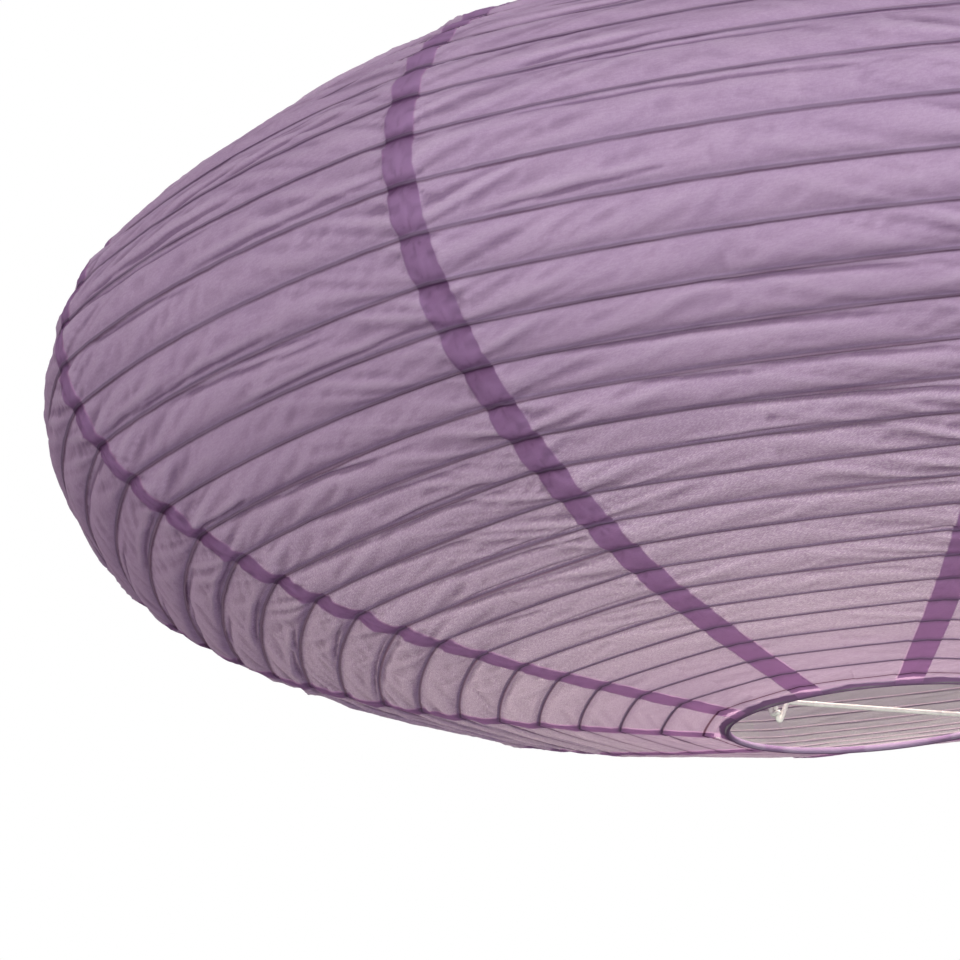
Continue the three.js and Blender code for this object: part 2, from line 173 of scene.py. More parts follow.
def rib_place(turn, share):
    """Where a rib turn runs, from 0 at the lower rim to 1 at the upper one.

    Turns 0 and STRIPS are the rims; the first and last turns between them come down on one."""
    place = (turn - share) / STRIPS
    place = np.where(turn == 1, place * smooth((LAST_SHARE - share) / END_SHARE), place)
    last = 1 - (1 - place) * smooth((share - FIRST_SHARE) / END_SHARE)
    place = np.where(turn == STRIPS - 1, last, place)
    place = np.where(turn <= 0, 0.0, place)
    return np.clip(np.where(turn >= STRIPS, 1.0, place), 0, 1)


def corner_pull(t, azimuth):
    """The factor on the radius that makes the shade slightly ten-sided, most of all near its rims."""
    size = CORNER_AT_RIM + (CORNER_AT_EQUATOR - CORNER_AT_RIM) * (1 - np.abs(2 * t - 1))
    from_seam = (azimuth - SEAM_AZIMUTH) / GORE_ANGLE
    to_side = 1 - 2 * np.abs(from_seam - np.round(from_seam))      # 1 at a seam, 0 in a gore's middle
    return 1 + size * CORNER_BEND * (to_side ** 2 - 1 / 3)         # a third is the mean of the square


def shade_point(t, azimuth, offset):
    """Points of the shade's surface, standing off it by offset."""
    r = np.interp(t, OUTLINE_T, OUTLINE_R) * corner_pull(t, azimuth)
    z = np.interp(t, OUTLINE_T, OUTLINE_Z) + BOTTOM_RIM_Z
    slope = np.interp(t, OUTLINE_T, OUTLINE_SLOPE)
    r = r + offset * np.sin(slope)
    z = z - offset * np.cos(slope)
    turn = np.radians(azimuth)
    return np.stack([r * np.cos(turn), r * np.sin(turn), z], -1)


# ---------- Paper relief ----------

PITCH = 2 * HALF_MERIDIAN / STRIPS
# The paper is tight at the rims: where it begins to slacken, and over what shares of the meridian it does
TIGHT_TO, LOOSER_OVER, TIGHTER_OVER = 0.03, 0.28, 0.12
PUFF_TIGHT, PUFF_SLACK = 0.2 * MM, 1.5 * MM    # height between two ribs, and what slack adds
WRAP_RISE, WIRE_REACH = 0.5 * MM, 0.7 * MM     # how a rib wire lifts the paper
TUCK_AT = 1.4 * MM                             # the paper dips this far from a wire
TUCK_UNDER_RIB, TUCK_OVER_RIB = 0.3 * MM, 0.1 * MM
STREAK_SLANT = 0.30
COARSE_LINE, COARSE_WAVE = 2.1 * MM, 7.0 * MM  # tension lines: height and spacing
FINE_LINE, FINE_WAVE = 0.8 * MM, 4.2 * MM
LINES_START, LINES_FADE = 3 * MM, 48 * MM      # distances from the seam
FAN_HEIGHT, FAN_START, FAN_FADE = 0.8 * MM, 2.5 * MM, 11 * MM
CREASE_DEPTH, CREASE_WIDTH = 0.8 * MM, 0.8 * MM
CRINKLE_HEIGHT, WAVE_HEIGHT = 0.40 * MM, 0.7 * MM
WIRE_END_CALM = 12 * MM
OVERLAP_RELIEF, OVERLAP_EDGE = 0.3, 3.5 * MM   # share of the relief left on an overlap, and where it grows


def places(strip, azimuth):
    """Where points of the paper lie, as named arrays. Lengths are in metres."""
    at = SimpleNamespace(strip=strip, share=turn_share(azimuth))
    at.row = np.clip(np.floor(strip), 0, STRIPS - 1)
    at.up = strip - at.row                           # from 0 at the rib below to 1 at the rib above
    below, above = rib_place(at.row, at.share), rib_place(at.row + 1, at.share)
    at.t = below + (above - below) * at.up
    at.width = (above - below) * 2 * HALF_MERIDIAN
    at.radius = np.interp(at.t, OUTLINE_T, OUTLINE_R)
    from_seam = (azimuth - SEAM_AZIMUTH) / GORE_ANGLE
    at.seam, at.gore = np.round(from_seam), np.floor(from_seam)
    at.side = np.sign(from_seam - at.seam)
    at.gore_width = np.radians(GORE_ANGLE) * at.radius
    at.across = (from_seam - at.seam) * at.gore_width         # from the nearest seam, along the strip
    at.from_left = (from_seam - at.gore) * at.gore_width
    at.along = np.radians(azimuth) * at.radius                # round the shade
    lower = smooth((at.t - TIGHT_TO) / LOOSER_OVER)
    at.slack = np.minimum(lower, smooth((1.0 - at.t) / TIGHTER_OVER))
    at.between = np.sin(math.pi * np.clip(at.up, 0, 1)) ** 0.6    # 0 at a rib, 1 halfway to the next
    return at


def puffed(at):
    """The plain shape: fullest above the lower rib, wrapped over each wire and tucked in beside it."""
    uneven = 1 + 0.35 * noise(at.along / (70 * MM), at.row * 3.7, 11)
    puff = (PUFF_TIGHT + PUFF_SLACK * at.slack) * (at.width / PITCH) * uneven
    full_at = 0.36 + 0.12 * noise(at.along / (90 * MM), at.row * 5.1, 12)
    arch = np.where(at.up < full_at, at.up / full_at, (1 - at.up) / (1 - full_at))
    shape = puff * np.sin(arch * math.pi / 2) ** 0.9
    near = np.minimum(at.up, 1 - at.up) * at.width            # distance from the nearer rib
    shape = shape + WRAP_RISE * np.exp(-(near / WIRE_REACH) ** 2) * (0.5 + 0.5 * at.slack)
    tuck = np.where(at.up > 0.5, TUCK_UNDER_RIB, TUCK_OVER_RIB)
    return shape - tuck * at.slack * np.exp(-((near - TUCK_AT) / WIRE_REACH) ** 2)


def streaks(at, row, wavelength, seed):
    """Lines that leave a seam and climb towards the rib above as they go."""
    from_seam = np.abs(at.across)
    place = (at.up * at.width - STREAK_SLANT * from_seam) / wavelength
    return creased(place, row * 7.7 + from_seam / (70 * MM), seed) ** 2


def tension_lines(at):
    """Coarse and fine lines beside the seams."""
    row = at.row * 2.3 + at.seam * 17 + at.side * 5
    coarse = COARSE_LINE * (streaks(at, row, COARSE_WAVE, 22) - 0.4)
    fine = FINE_LINE * (streaks(at, row + 3.3, FINE_WAVE, 23) - 0.4)
    fade = smooth(np.abs(at.across) / LINES_START) * np.exp(-np.abs(at.across) / LINES_FADE)
    return fade * at.between * (0.25 + 0.75 * at.slack) * (coarse + fine)


def fans(at):
    """Folds that fan out from each place where a rib crosses a seam."""
    rib = np.round(at.strip)
    rise = (at.strip - rib) * PITCH
    reach = np.hypot(at.across, rise) + 1e-6
    angle = np.arctan2(rise, np.abs(at.across))
    corner = at.seam * 2 + at.side
    phase = 6.28 * hashed(rib, corner, 31)
    strength = 0.3 + 0.7 * hashed(rib, corner, 32)
    fan = np.cos(angle * (5 + 3 * hashed(rib, at.seam, 33)) + phase) ** 3
    fade = smooth(reach / FAN_START) * np.exp(-reach / FAN_FADE)
    return FAN_HEIGHT * fan * fade * strength * (0.15 + 0.85 * at.slack)


def single_creases(at):
    """Up to three creases in each strip of a gore, nearly along it or leaving a rib at a shallow angle."""
    total = 0
    for seed in (41, 51, 91):
        start = (0.55 * hashed(at.row, at.gore, seed) - 0.05) * at.gore_width
        length = (45 + 95 * hashed(at.row, at.gore, seed + 1)) * MM
        there = (at.from_left - start) / length
        rise = 0.05 + 0.25 * hashed(at.row, at.gore, seed + 2)
        near_top = hashed(at.row, at.gore, seed + 3) > 0.3
        line = np.where(near_top, 0.92 - rise * np.abs(there), 0.08 + rise * there)
        line = line + 0.02 * noise(at.along / (12 * MM), at.row + seed, seed + 5)
        off = (at.up - line) * at.width
        present = hashed(at.row, at.gore, seed + 4) < 0.5
        depth = CREASE_DEPTH * smooth(there / 0.25) * smooth((1 - there) / 0.4) * present * at.slack
        valley = np.exp(-(off / CREASE_WIDTH) ** 2)
        ridge = np.exp(-((off - 1.8 * MM) / (1.3 * MM)) ** 2)
        total = total + depth * (0.5 * ridge - valley)
    return total


def crinkle(at):
    """The tissue's own crinkle, at two sizes."""
    large = creased(at.along / (18 * MM), at.strip * 1.3, 61) ** 2
    small = creased(at.along / (8 * MM), at.strip * 2.6, 62) ** 2
    return CRINKLE_HEIGHT * at.between * (large + 0.6 * small - 0.7) * (0.3 + 0.7 * at.slack)


def paper_relief(strip, azimuth):
    """The place on the meridian, how far the paper stands off the outline and how much of it is creases."""
    at = places(strip, azimuth)
    waves = WAVE_HEIGHT * at.slack * noise(at.along / (110 * MM), strip / 2.6, 63)
    creases = tension_lines(at) + fans(at) + single_creases(at) + crinkle(at) + waves

    # The wire's ends lie at one seam, where the strips are numbered anew: only the plain shape meets there.
    end_share = np.minimum(np.abs(at.share - FIRST_SHARE), np.abs(at.share - LAST_SHARE))
    creases = creases * smooth(end_share * 2 * math.pi * at.radius / WIRE_END_CALM - 0.6)

    # Two glued layers are stiffer: an overlap is nearly flat.
    free = smooth((np.abs(at.across) - OVERLAP_EDGE) / OVERLAP_EDGE)
    creases = creases * (OVERLAP_RELIEF + (1 - OVERLAP_RELIEF) * free)
    return at.t, puffed(at) + creases, creases


# ---------- Meshes ----------


def make_piece(name, points, faces, material, smooth_faces=True, uv=None, attributes=None):
    """A mesh object from points (n, 3) and quads (m, 4), with a number for each point in each attribute."""
    points = np.asarray(points, np.float32).reshape(-1, 3)
    faces = np.asarray(faces, np.int32)
    mesh = bpy.data.meshes.new(name)
    mesh.vertices.add(len(points))
    mesh.vertices.foreach_set("co", points.ravel())
    sides = faces.shape[1]
    mesh.loops.add(faces.size)
    mesh.loops.foreach_set("vertex_index", faces.ravel())
    mesh.polygons.add(len(faces))
    mesh.polygons.foreach_set("loop_start", np.arange(len(faces), dtype=np.int32) * sides)
    mesh.polygons.foreach_set("use_smooth", np.full(len(faces), smooth_faces))
    mesh.update(calc_edges=True)
    if uv is not None:
        layer = mesh.uv_layers.new(name="sheet")
        layer.data.foreach_set("uv", np.asarray(uv, np.float32)[faces.ravel()].ravel())
    for key, values in (attributes or {}).items():
        layer = mesh.attributes.new(key, "FLOAT", "POINT")
        layer.data.foreach_set("value", np.asarray(values, np.float32).ravel())
    mesh.materials.append(material)
    piece = bpy.data.objects.new(name, mesh)
    bpy.context.scene.collection.objects.link(piece)
    return piece


def grid_faces(rows, columns, close_rows=False, close_columns=False):
    """Quads of a grid of rows by columns points, faces turned to the left of its first row."""
    r = np.arange(rows if close_rows else rows - 1)
    c = np.arange(columns if close_columns else columns - 1)
    r, c = np.meshgrid(r, c, indexing="ij")
    up, right = (r + 1) % rows, (c + 1) % columns
    quads = np.stack([r * columns + c, r * columns + right, up * columns + right, up * columns + c], -1)
    return quads.reshape(-1, 4)


def tie(piece, node, body):
    """A piece moves with a body and stands for a node of the frame, which is hidden."""
    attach(piece, body)
    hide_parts(node)


def fold(piece):
    """Gives a piece its own copy of its mesh; the real piece is pressed together as the lower ring rises."""
    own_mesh(piece)


# ---------- Shade pieces ----------

# Rows of one strip, closer together beside the ribs.
ROW_STATIONS = np.array([0, 0.4, 0.85, 1.35, 1.95, 2.7, 3.6, 4.8, 6.2]) * MM / PITCH
STRIP_ROWS = np.concatenate([ROW_STATIONS, [0.5], 1 - ROW_STATIONS[:0:-1]])
GORE_COLUMNS = 110
TIGHT_STRIPS, LOOSENING_STRIPS = 5, 9     # tight strips above the lower rim, then strips that grow slack
LAP_SLOPE = 0.8 * MM                      # width of the step at an overlap's edge


def hollows(relief):
    """How deep each point lies below the paper round it, in millimetres; ridges are negative."""
    around = np.zeros_like(relief)
    total = 0
    for rows, columns in ((1, 0), (2, 0), (3, 0), (0, 1), (0, 2), (1, 1), (2, 1)):
        for i, j in {(rows, columns), (-rows, columns), (rows, -columns), (-rows, -columns)}:
            around = around + np.roll(relief, (i, j), (0, 1))
            total += 1
    hollow = (around / total - relief) / MM
    hollow[:4] = hollow[-4:] = 0          # the outer rows and columns lack neighbours on one side
    hollow[:, :2] = hollow[:, 2:3]
    hollow[:, -2:] = hollow[:, -3:-2]
    return hollow


def gore_mesh(index):
    """One gore. Its far edge laps over the next gore; both know how far they reach into the overlap."""
    strip = np.concatenate([k + STRIP_ROWS for k in range(STRIPS)] + [[STRIPS]])
    left = SEAM_AZIMUTH + index * GORE_ANGLE
    if left >= END_AZIMUTH:
        left -= 360                       # from the wire's end on, strips are numbered from its start
    slack = smooth((strip - TIGHT_STRIPS) / LOOSENING_STRIPS)
    at_rib = np.abs(np.cos(math.pi * strip)) ** 5
    pinch = 0.1 * at_rib * (0.5 + 0.5 * hashed(np.round(strip), index, 72))
    edge = LAP_HALF * (1 + slack * (0.04 - pinch))
    radius = np.interp(np.clip(strip / STRIPS, 0, 1), OUTLINE_T, OUTLINE_R)
    wander = 0.4 * MM * noise(strip * 0.45, np.full_like(strip, index * 9.0), 71)
    low_edge = left - np.degrees((edge + wander) / radius)
    high_edge = left + GORE_ANGLE + np.degrees((edge - wander) / radius)
    mix = np.linspace(0, 1, GORE_COLUMNS)
    mix = mix - 0.07 * np.sin(2 * math.pi * mix)      # closer columns near the edges
    azimuth = low_edge[:, None] + (high_edge - low_edge)[:, None] * mix[None, :]
    strips = np.repeat(strip[:, None], GORE_COLUMNS, 1)
    t, relief, creases = paper_relief(strips, azimuth)

    past_far_seam = np.radians(azimuth - (left + GORE_ANGLE)) * radius[:, None]
    short_of_near_seam = np.radians(left - azimuth) * radius[:, None]
    far_lap = past_far_seam + edge[:, None]
    lap = np.maximum(far_lap, short_of_near_seam + edge[:, None]) / MM
    lifted = LAP_STEP * smooth((far_lap + LAP_SLOPE) / LAP_SLOPE)
    points = shade_point(t, azimuth, relief + lifted)
    uv = np.stack([np.radians(azimuth) * radius[:, None], t * 2 * HALF_MERIDIAN], -1).reshape(-1, 2)
    name = f"paper_gore_{index + 1:02d}"
    attributes = {
        "strip": strips,
        "lap": lap,
        "hollow": hollows(creases),
        "slack": np.repeat(slack[:, None], GORE_COLUMNS, 1),
    }
    faces = grid_faces(len(strip), GORE_COLUMNS)
    paper = FINISH["lilac_paper"]
    piece = make_piece("crinkled_" + name, points, faces, paper, uv=uv, attributes=attributes)
    tie(piece, name, "lamp")
    fold(piece)


ROLL = np.linspace(-90, 90, 11)     # places round the ring in a hem, in degrees from its inner side
HEM_STEPS = 6                       # rows from the rim in to the ring, and again in the layer turned back
PAPER_OFF_RING = 0.2 * MM


def hem_mesh(upper):
    """The paper past a rim: in to the ring, round it and back along itself with a wavy cut edge."""
    count = 900
    azimuth = np.linspace(0, 360, count, endpoint=False)
    level = np.zeros(count)
    wrap = RING_WIRE + PAPER_OFF_RING
    turned_in = (2.6 + 0.9 * noise(azimuth / 9, level, 81) + 0.4 * noise(azimuth / 3, level, 82)) * MM
    rim = shade_point(level, azimuth, paper_relief(level, azimuth)[1])
    rim_r = np.hypot(rim[:, 0], rim[:, 1])
    rim_z = rim[:, 2] - BOTTOM_RIM_Z
    rows = []
    for share in np.arange(HEM_STEPS) / HEM_STEPS:
        sag = 0.25 * MM * math.sin(math.pi * share)
        r = rim_r + (RING_RADIUS - rim_r) * share
        rows.append((r, rim_z * (1 - share) + (-RING_DROP - wrap) * share + sag))
    for angle in np.radians(ROLL):
        r = RING_RADIUS - wrap * math.cos(angle)
        rows.append((np.full(count, r), np.full(count, wrap * math.sin(angle) - RING_DROP)))
    for share in np.arange(1, HEM_STEPS + 1) / HEM_STEPS:
        ripple = 0.18 * MM * noise(azimuth / 4, level + share * 2, 83) * share
        rows.append((RING_RADIUS + turned_in * share, wrap - RING_DROP - 0.1 * MM * share + ripple))
    turn = np.radians(azimuth)
    flip = -1 if upper else 1
    base = TOP_RIM_Z if upper else BOTTOM_RIM_Z
    points = np.array([np.stack([r * np.cos(turn), r * np.sin(turn), base + flip * z], -1) for r, z in rows])

    # How far inside the cut edge a point lies, in millimetres. Round the ring only the first 30 degrees
    # count as two layers, and the layer turned back not at all.
    double = np.array([(turned_in - (r - RING_RADIUS)) / MM for r, _ in rows])
    on_ring = slice(HEM_STEPS, HEM_STEPS + len(ROLL))
    double[on_ring] = (-2 - ROLL / 30)[:, None]
    double[on_ring.stop:] = -1
    seam = (azimuth - SEAM_AZIMUTH) / GORE_ANGLE
    from_seam = np.abs(seam - np.round(seam)) * np.radians(GORE_ANGLE) * RIM_RADIUS
    lap = np.repeat((LAP_HALF - from_seam)[None, :] / MM, len(rows), 0)
    # Painted shade on the roll's inner lower side, where the ring wire lies behind the paper
    wire = np.zeros(len(rows))
    wire[on_ring] = np.exp(-((ROLL + 70) / 26) ** 2)
    attributes = {"lap": lap, "double": double, "wire": np.repeat(wire[:, None], count, 1)}
    faces = grid_faces(len(rows), count, close_columns=True)
    if not upper:
        faces = faces[:, ::-1]
    name = "top_hem" if upper else "bottom_hem"
    piece = make_piece("turned_" + name, points, faces, FINISH["paper_hem"], attributes=attributes)
    tie(piece, name, "lamp" if upper else "shade_lower")


# Rings that round over an open end of a wire, the last one first: how far past the end, and how thick, as
# shares of the wire's radius.
END_CAPS = [(0.8, 0.05), (0.32, 0.75)]


def sweep(path, radius, sides=10, closed=False):
    """Points and quads of a round wire along a path of points. Open ends are rounded over and closed."""
    path = np.asarray(path, float)
    if closed:
        tangent = np.roll(path, -1, 0) - np.roll(path, 1, 0)
    else:
        tangent = np.gradient(path, axis=0)
    tangent /= np.linalg.norm(tangent, axis=1)[:, None]
    normal = np.zeros_like(path)
    first = np.array([0, 0, 1.0]) if abs(tangent[0][2]) < 0.9 else np.array([1.0, 0, 0])
    normal[0] = first - tangent[0] * (first @ tangent[0])
    for i in range(1, len(path)):
        carried = normal[i - 1] - tangent[i] * (normal[i - 1] @ tangent[i])
        normal[i] = carried / np.linalg.norm(carried)
    normal[0] /= np.linalg.norm(normal[0])
    other = np.cross(tangent, normal)
    turn = np.linspace(0, 2 * math.pi, sides, endpoint=False)
    ring = np.cos(turn)[None, :, None] * normal[:, None] + np.sin(turn)[None, :, None] * other[:, None]
    radii = np.full(len(path), radius)
    centres = path
    if not closed:
        start = [(path[0] - tangent[0] * radius * past, s) for past, s in END_CAPS]
        end = [(path[-1] + tangent[-1] * radius * past, s) for past, s in END_CAPS[::-1]]
        centres = np.concatenate([[c for c, _ in start], path, [c for c, _ in end]])
        radii = np.concatenate([[radius * s for _, s in start], radii, [radius * s for _, s in end]])
        ring = np.concatenate([ring[:1], ring[:1], ring, ring[-1:], ring[-1:]])
    points = centres[:, None] + ring * radii[:, None, None]
    faces = grid_faces(len(centres), sides, close_rows=closed, close_columns=True)
    return points.reshape(-1, 3), faces[:, ::-1]


def combined(*parts):
    """Several points-and-faces pairs as one."""
    points, faces, count = [], [], 0
    for p, f in parts:
        points.append(p)
        faces.append(f + count)
        count += len(p)
    return np.concatenate(points), np.concatenate(faces)


def rib_wire_mesh():
    """The rib wire: it leaves the lower rim, climbs once a turn and ends on the upper rim."""
    steps = 240
    places_up, azimuths = [], []
    for turn in range(1, STRIPS):
        share = LAST_SHARE - np.arange(steps) / steps
        places_up.append(rib_place(np.full(steps, turn), share))
        azimuths.append(share * 360 + PHASE_AZIMUTH)
    t, azimuth = np.concatenate(places_up), np.concatenate(azimuths)
    turns = np.repeat(np.arange(1.0, STRIPS), steps)
    path = shade_point(t, azimuth, paper_relief(turns, azimuth)[1] - RIB_WIRE - RIB_UNDER_PAPER)
    points, faces = sweep(path, RIB_WIRE, sides=6)
    piece = make_piece("rib_wire_spiral", points, faces, FINISH["rib_wire"])
    tie(piece, "rib_spiral", "lamp")
    fold(piece)


def circle(radius, z, count=240):
    turn = np.linspace(0, 2 * math.pi, count, endpoint=False)
    return np.stack([radius * np.cos(turn), radius * np.sin(turn), np.full(count, z)], -1)


def ring_mesh(name, z, body):
    points, faces = sweep(circle(RING_RADIUS, z), RING_WIRE, sides=12, closed=True)
    piece = make_piece("round_" + name, points, faces, FINISH["ring_wire"])
    tie(piece, name, body)


# ---------- Expander ----------

BAR_BEND = 30 * MM            # where a bar's bent ends begin
LOOP_RADIUS = 21.5 * MM       # the upper bridge's loop, under the lampholder's flange
EYE_RADIUS = 2.15 * MM        # the eyes that run along the legs
LEG_HOOK = 2 * MM             # how far a leg's ends reach past the two rings
WIRE_SIDES = 12
# A bar's end as distance from the axis and height over the ring, in millimetres: a V-shaped dip up to the
# eye. The foot goes on from the eye and rests on the ring.
BAR_END = [
    (30, 3.3), (40.6, 3.3), (42.2, 2.5), (43.6, 0.2), (45, -2.6), (46, -3.7), (46.9, -3.1), (47.2, -1),
    (47.3, 1.4), (47.4, 3.2),
]
BAR_FOOT = [(51.7, 3.3), (54.6, 3.1), (57.4, 2.9)]


def curve_through(points, steps=8):
    """A smooth path through points (Catmull-Rom)."""
    p = np.asarray(points, float)
    p = np.concatenate([[2 * p[0] - p[1]], p, [2 * p[-1] - p[-2]]])
    out = []
    for a, b, c, d in zip(p, p[1:], p[2:], p[3:]):
        for t in np.arange(steps) / steps:
            square = (2 * a - 5 * b + 4 * c - d) * t ** 2
            cube = (3 * b - a - 3 * c + d) * t ** 3
            out.append(0.5 * (2 * b + (c - a) * t + square + cube))
    out.append(p[-2])
    return np.array(out)


def side_path(points):
    """Points given as distance from the axis and height, in millimetres, on the +X side."""
    return np.array([[x, 0, z] for x, z in points]) * MM


def wire(path, closed=False):
    return sweep(path, EXPANDER_WIRE, sides=WIRE_SIDES, closed=closed)


def straight_bar(start, end, count):
    return wire(np.array([[x, 0, BAR_HEIGHT] for x in np.linspace(start, end, count)]))


def turned_about(points, degrees):
    a = math.radians(degrees)
    return points @ np.array([[math.cos(a), math.sin(a), 0], [-math.sin(a), math.cos(a), 0], [0, 0, 1]])


def bar_ends():
    """The dips, eyes and feet at both ends of a bar."""
    dip = wire(curve_through(side_path(BAR_END)))
    eye = wire(circle(EYE_RADIUS, BAR_HEIGHT, 40) + np.array([LEG_RADIUS, 0, 0]), closed=True)
    foot = wire(curve_through(side_path(BAR_FOOT)))
    half = combined(dip, eye, foot)
    return combined(half, (turned_about(half[0], 180), half[1]))


def placed(shape, z, turned_over=False):
    """An expander shape drawn about a ring's plane, turned to the expander's azimuth and set at height z."""
    points, faces = shape
    if turned_over:
        points = points * np.array([1, -1, -1])
    points = turned_about(points, EXPANDER_AZIMUTH) + np.array([0, 0, z])
    return points, faces


def wire_piece(name, node, body, shape):
    piece = make_piece(name, *shape, FINISH["white_wire"])
    tie(piece, node, body)


def lower_bar():
    shape = combined(straight_bar(-BAR_BEND, BAR_BEND, 13), bar_ends())
    wire_piece("bar_lower", "expander_bar_lower", "shade_lower", placed(shape, LOWER_RING_Z))


def upper_bridge():
    loop = wire(circle(LOOP_RADIUS, BAR_HEIGHT, 120), closed=True)
    sides = [straight_bar(side * LOOP_RADIUS, side * BAR_BEND, 5) for side in (1, -1)]
    shape = placed(combined(loop, *sides, bar_ends()), UPPER_RING_Z, turned_over=True)
    wire_piece("bridge_upper", "expander_bridge_upper", "lamp", shape)


def legs():
    """Two upright legs with hooked ends, drawn from the lower ring's plane."""
    low, high = -LEG_HOOK, (UPPER_RING_Z - LOWER_RING_Z) + LEG_HOOK
    bends = [(4.5, low), (1.6, low), (0.5, low + 0.4 * MM), (0, low + 1.6 * MM)]
    lower = [[LEG_RADIUS, y * MM, z] for y, z in bends]
    upper = [[LEG_RADIUS, y * MM, high + low - z] for y, z in bends[::-1]]
    foot, head = np.array(lower[-1]), np.array(upper[0])
    shaft = foot + np.linspace(0.02, 0.98, 30)[:, None] * (head - foot)
    points, faces = wire(np.concatenate([curve_through(lower, 5), shaft, curve_through(upper, 5)]))
    for name, half_turn in (("right", 0), ("left", 180)):
        shape = placed((turned_about(points, half_turn), faces), LOWER_RING_Z)
        wire_piece(f"leg_{name}", f"expander_leg_{name}", "lamp", shape)


# ---------- Turned pieces ----------

AXIS_NEAR = 1e-6


def rounded(outline, radius, steps=4):
    """A closed outline with its corners rounded; corners on the axis stay."""
    points = [np.array(p, float) for p in outline]
    out = []
    for i, corner in enumerate(points):
        before, after = points[i - 1], points[(i + 1) % len(points)]
        if corner[0] == 0:
            out.append(corner)
            continue
        a, b = before - corner, after - corner
        cut = min(radius, 0.45 * np.linalg.norm(a), 0.45 * np.linalg.norm(b))
        start = corner + a / max(np.linalg.norm(a), 1e-9) * cut
        end = corner + b / max(np.linalg.norm(b), 1e-9) * cut
        for t in np.linspace(0, 1, steps):
            out.append((1 - t) ** 2 * start + 2 * t * (1 - t) * corner + t ** 2 * end)
    return np.array(out)


def with_wall_points(points, pitch, wall):
    """The outline with ten points to each turn of a thread along the walls that lie outside a radius."""
    dense = []
    for a, b in zip(points, np.roll(points, -1, 0)):
        long_wall = min(a[0], b[0]) > wall and abs(a[1] - b[1]) > 1
        count = max(1, int(abs(a[1] - b[1]) / (pitch / 10))) if long_wall else 1
        dense += [a + (b - a) * i / count for i in range(count)]
    return np.array(dense)


def turned(outline, radius=0.5, segments=96, flutes=0, flute_depth=0.0, flute_from=0.0, thread=None):
    """Points and quads of a turned piece. The outline is in millimetres, up the outer side first.

    flutes cut grip ribs into what lies further out than flute_from. thread is a helical screw on the walls
    further out than its wall, between its low and high; a negative depth cuts in."""
    points = rounded(outline, radius)
    open_axis = points[:, 0].min() < AXIS_NEAR
    if open_axis:
        start = int(np.argmax(points[:, 0] < AXIS_NEAR))
        points = np.roll(points, -start, 0)
    if thread:
        points = with_wall_points(points, thread["pitch"], thread["wall"])
    turn = np.linspace(0, 2 * math.pi, segments, endpoint=False)
    r = np.repeat(points[:, :1], segments, 1)
    z = np.repeat(points[:, 1:], segments, 1)
    if flutes:
        outer = smooth((r - flute_from) / 0.4)
        r = r - flute_depth * outer * (0.5 + 0.5 * np.cos(flutes * turn[None, :])) ** 2
    if thread:
        low, high = thread["low"], thread["high"]
        on = (r > thread["wall"]) & (z > low) & (z < high)
        ends = smooth((z - low) / 1.5) * smooth((high - z) / 1.5)
        wave = 0.5 + 0.5 * np.cos(2 * math.pi * z / thread["pitch"] - turn[None, :])
        r = r + np.where(on, thread["depth"] * ends * wave, 0)
    points = (np.stack([r * np.cos(turn), r * np.sin(turn), z], -1) * MM).reshape(-1, 3)
    faces = grid_faces(len(r), segments, close_rows=True, close_columns=True)
    if open_axis:
        points, faces = without_axis_copies(points, faces)
    return points, faces[:, ::-1]


def without_axis_copies(points, faces):
    """Joins points that lie on each other on the axis, and drops quads that have shrunk to a line there."""
    keys = np.round(points / 1e-7).astype(np.int64)
    _, first, index = np.unique(keys, axis=0, return_index=True, return_inverse=True)
    faces = index.reshape(-1)[faces]
    distinct = np.array([len(set(face)) for face in faces])
    return points[first], faces[distinct >= 3]


def make_mixed(name, points, faces, material):
    """A mesh whose faces may hold a repeated corner, which makes them triangles."""
    mesh = bpy.data.meshes.new(name)
    clean = [list(dict.fromkeys(face)) for face in faces.tolist()]
    mesh.from_pydata(points.tolist(), [], [face for face in clean if len(face) > 2])
    mesh.polygons.foreach_set("use_smooth", np.ones(len(mesh.polygons), bool))
    mesh.update()
    mesh.materials.append(material)
    piece = bpy.data.objects.new(name, mesh)
    bpy.context.scene.collection.objects.link(piece)
    return piece


def lathe_piece(name, node, body, slot, outline, z=LOOP_Z, **options):
    """A turned piece whose outline is drawn from height z."""
    points, faces = turned(outline, **options)
    piece = make_mixed(name, points + np.array([0, 0, z]), faces, FINISH[slot])
    tie(piece, node, body)


# ---------- Materials ----------


def new_material(name):
    material = bpy.data.materials.new(name)
    material.use_nodes = True
    material.node_tree.nodes.clear()
    return material, material.node_tree


def link_or_set(tree, socket, value):
    if isinstance(value, bpy.types.NodeSocket):
        tree.links.new(value, socket)
    elif value is not None:
        socket.default_value = value


def add(tree, kind, inputs=None, **properties):
    """A node with its properties and inputs set; an input may be a value or another node's socket."""
    node = tree.nodes.new("ShaderNode" + kind)
    for key, value in properties.items():
        setattr(node, key, value)
    for key, value in (inputs or {}).items():
        link_or_set(tree, node.inputs[key], value)
    return node


def show(tree, shader, kind="OutputMaterial"):
    """Ends a node tree with a shader."""
    out = add(tree, kind)
    tree.links.new(shader.outputs[0], out.inputs["Surface"])


def maths(tree, operation, a, b=None, c=None, clamp=False):
    node = add(tree, "Math", operation=operation, use_clamp=clamp)
    for socket, value in zip(node.inputs, (a, b, c)):
        link_or_set(tree, socket, value)
    return node.outputs[0]


def times(tree, a, b, clamp=False):
    return maths(tree, "MULTIPLY", a, b, clamp=clamp)


def scaled(tree, value, gain, offset):
    return maths(tree, "MULTIPLY_ADD", value, gain, offset)


def blend_colour(tree, factor, a, b):
    node = add(tree, "Mix", data_type="RGBA")
    link_or_set(tree, node.inputs[0], factor)
    link_or_set(tree, node.inputs[6], a)
    link_or_set(tree, node.inputs[7], b)
    return node.outputs[2]


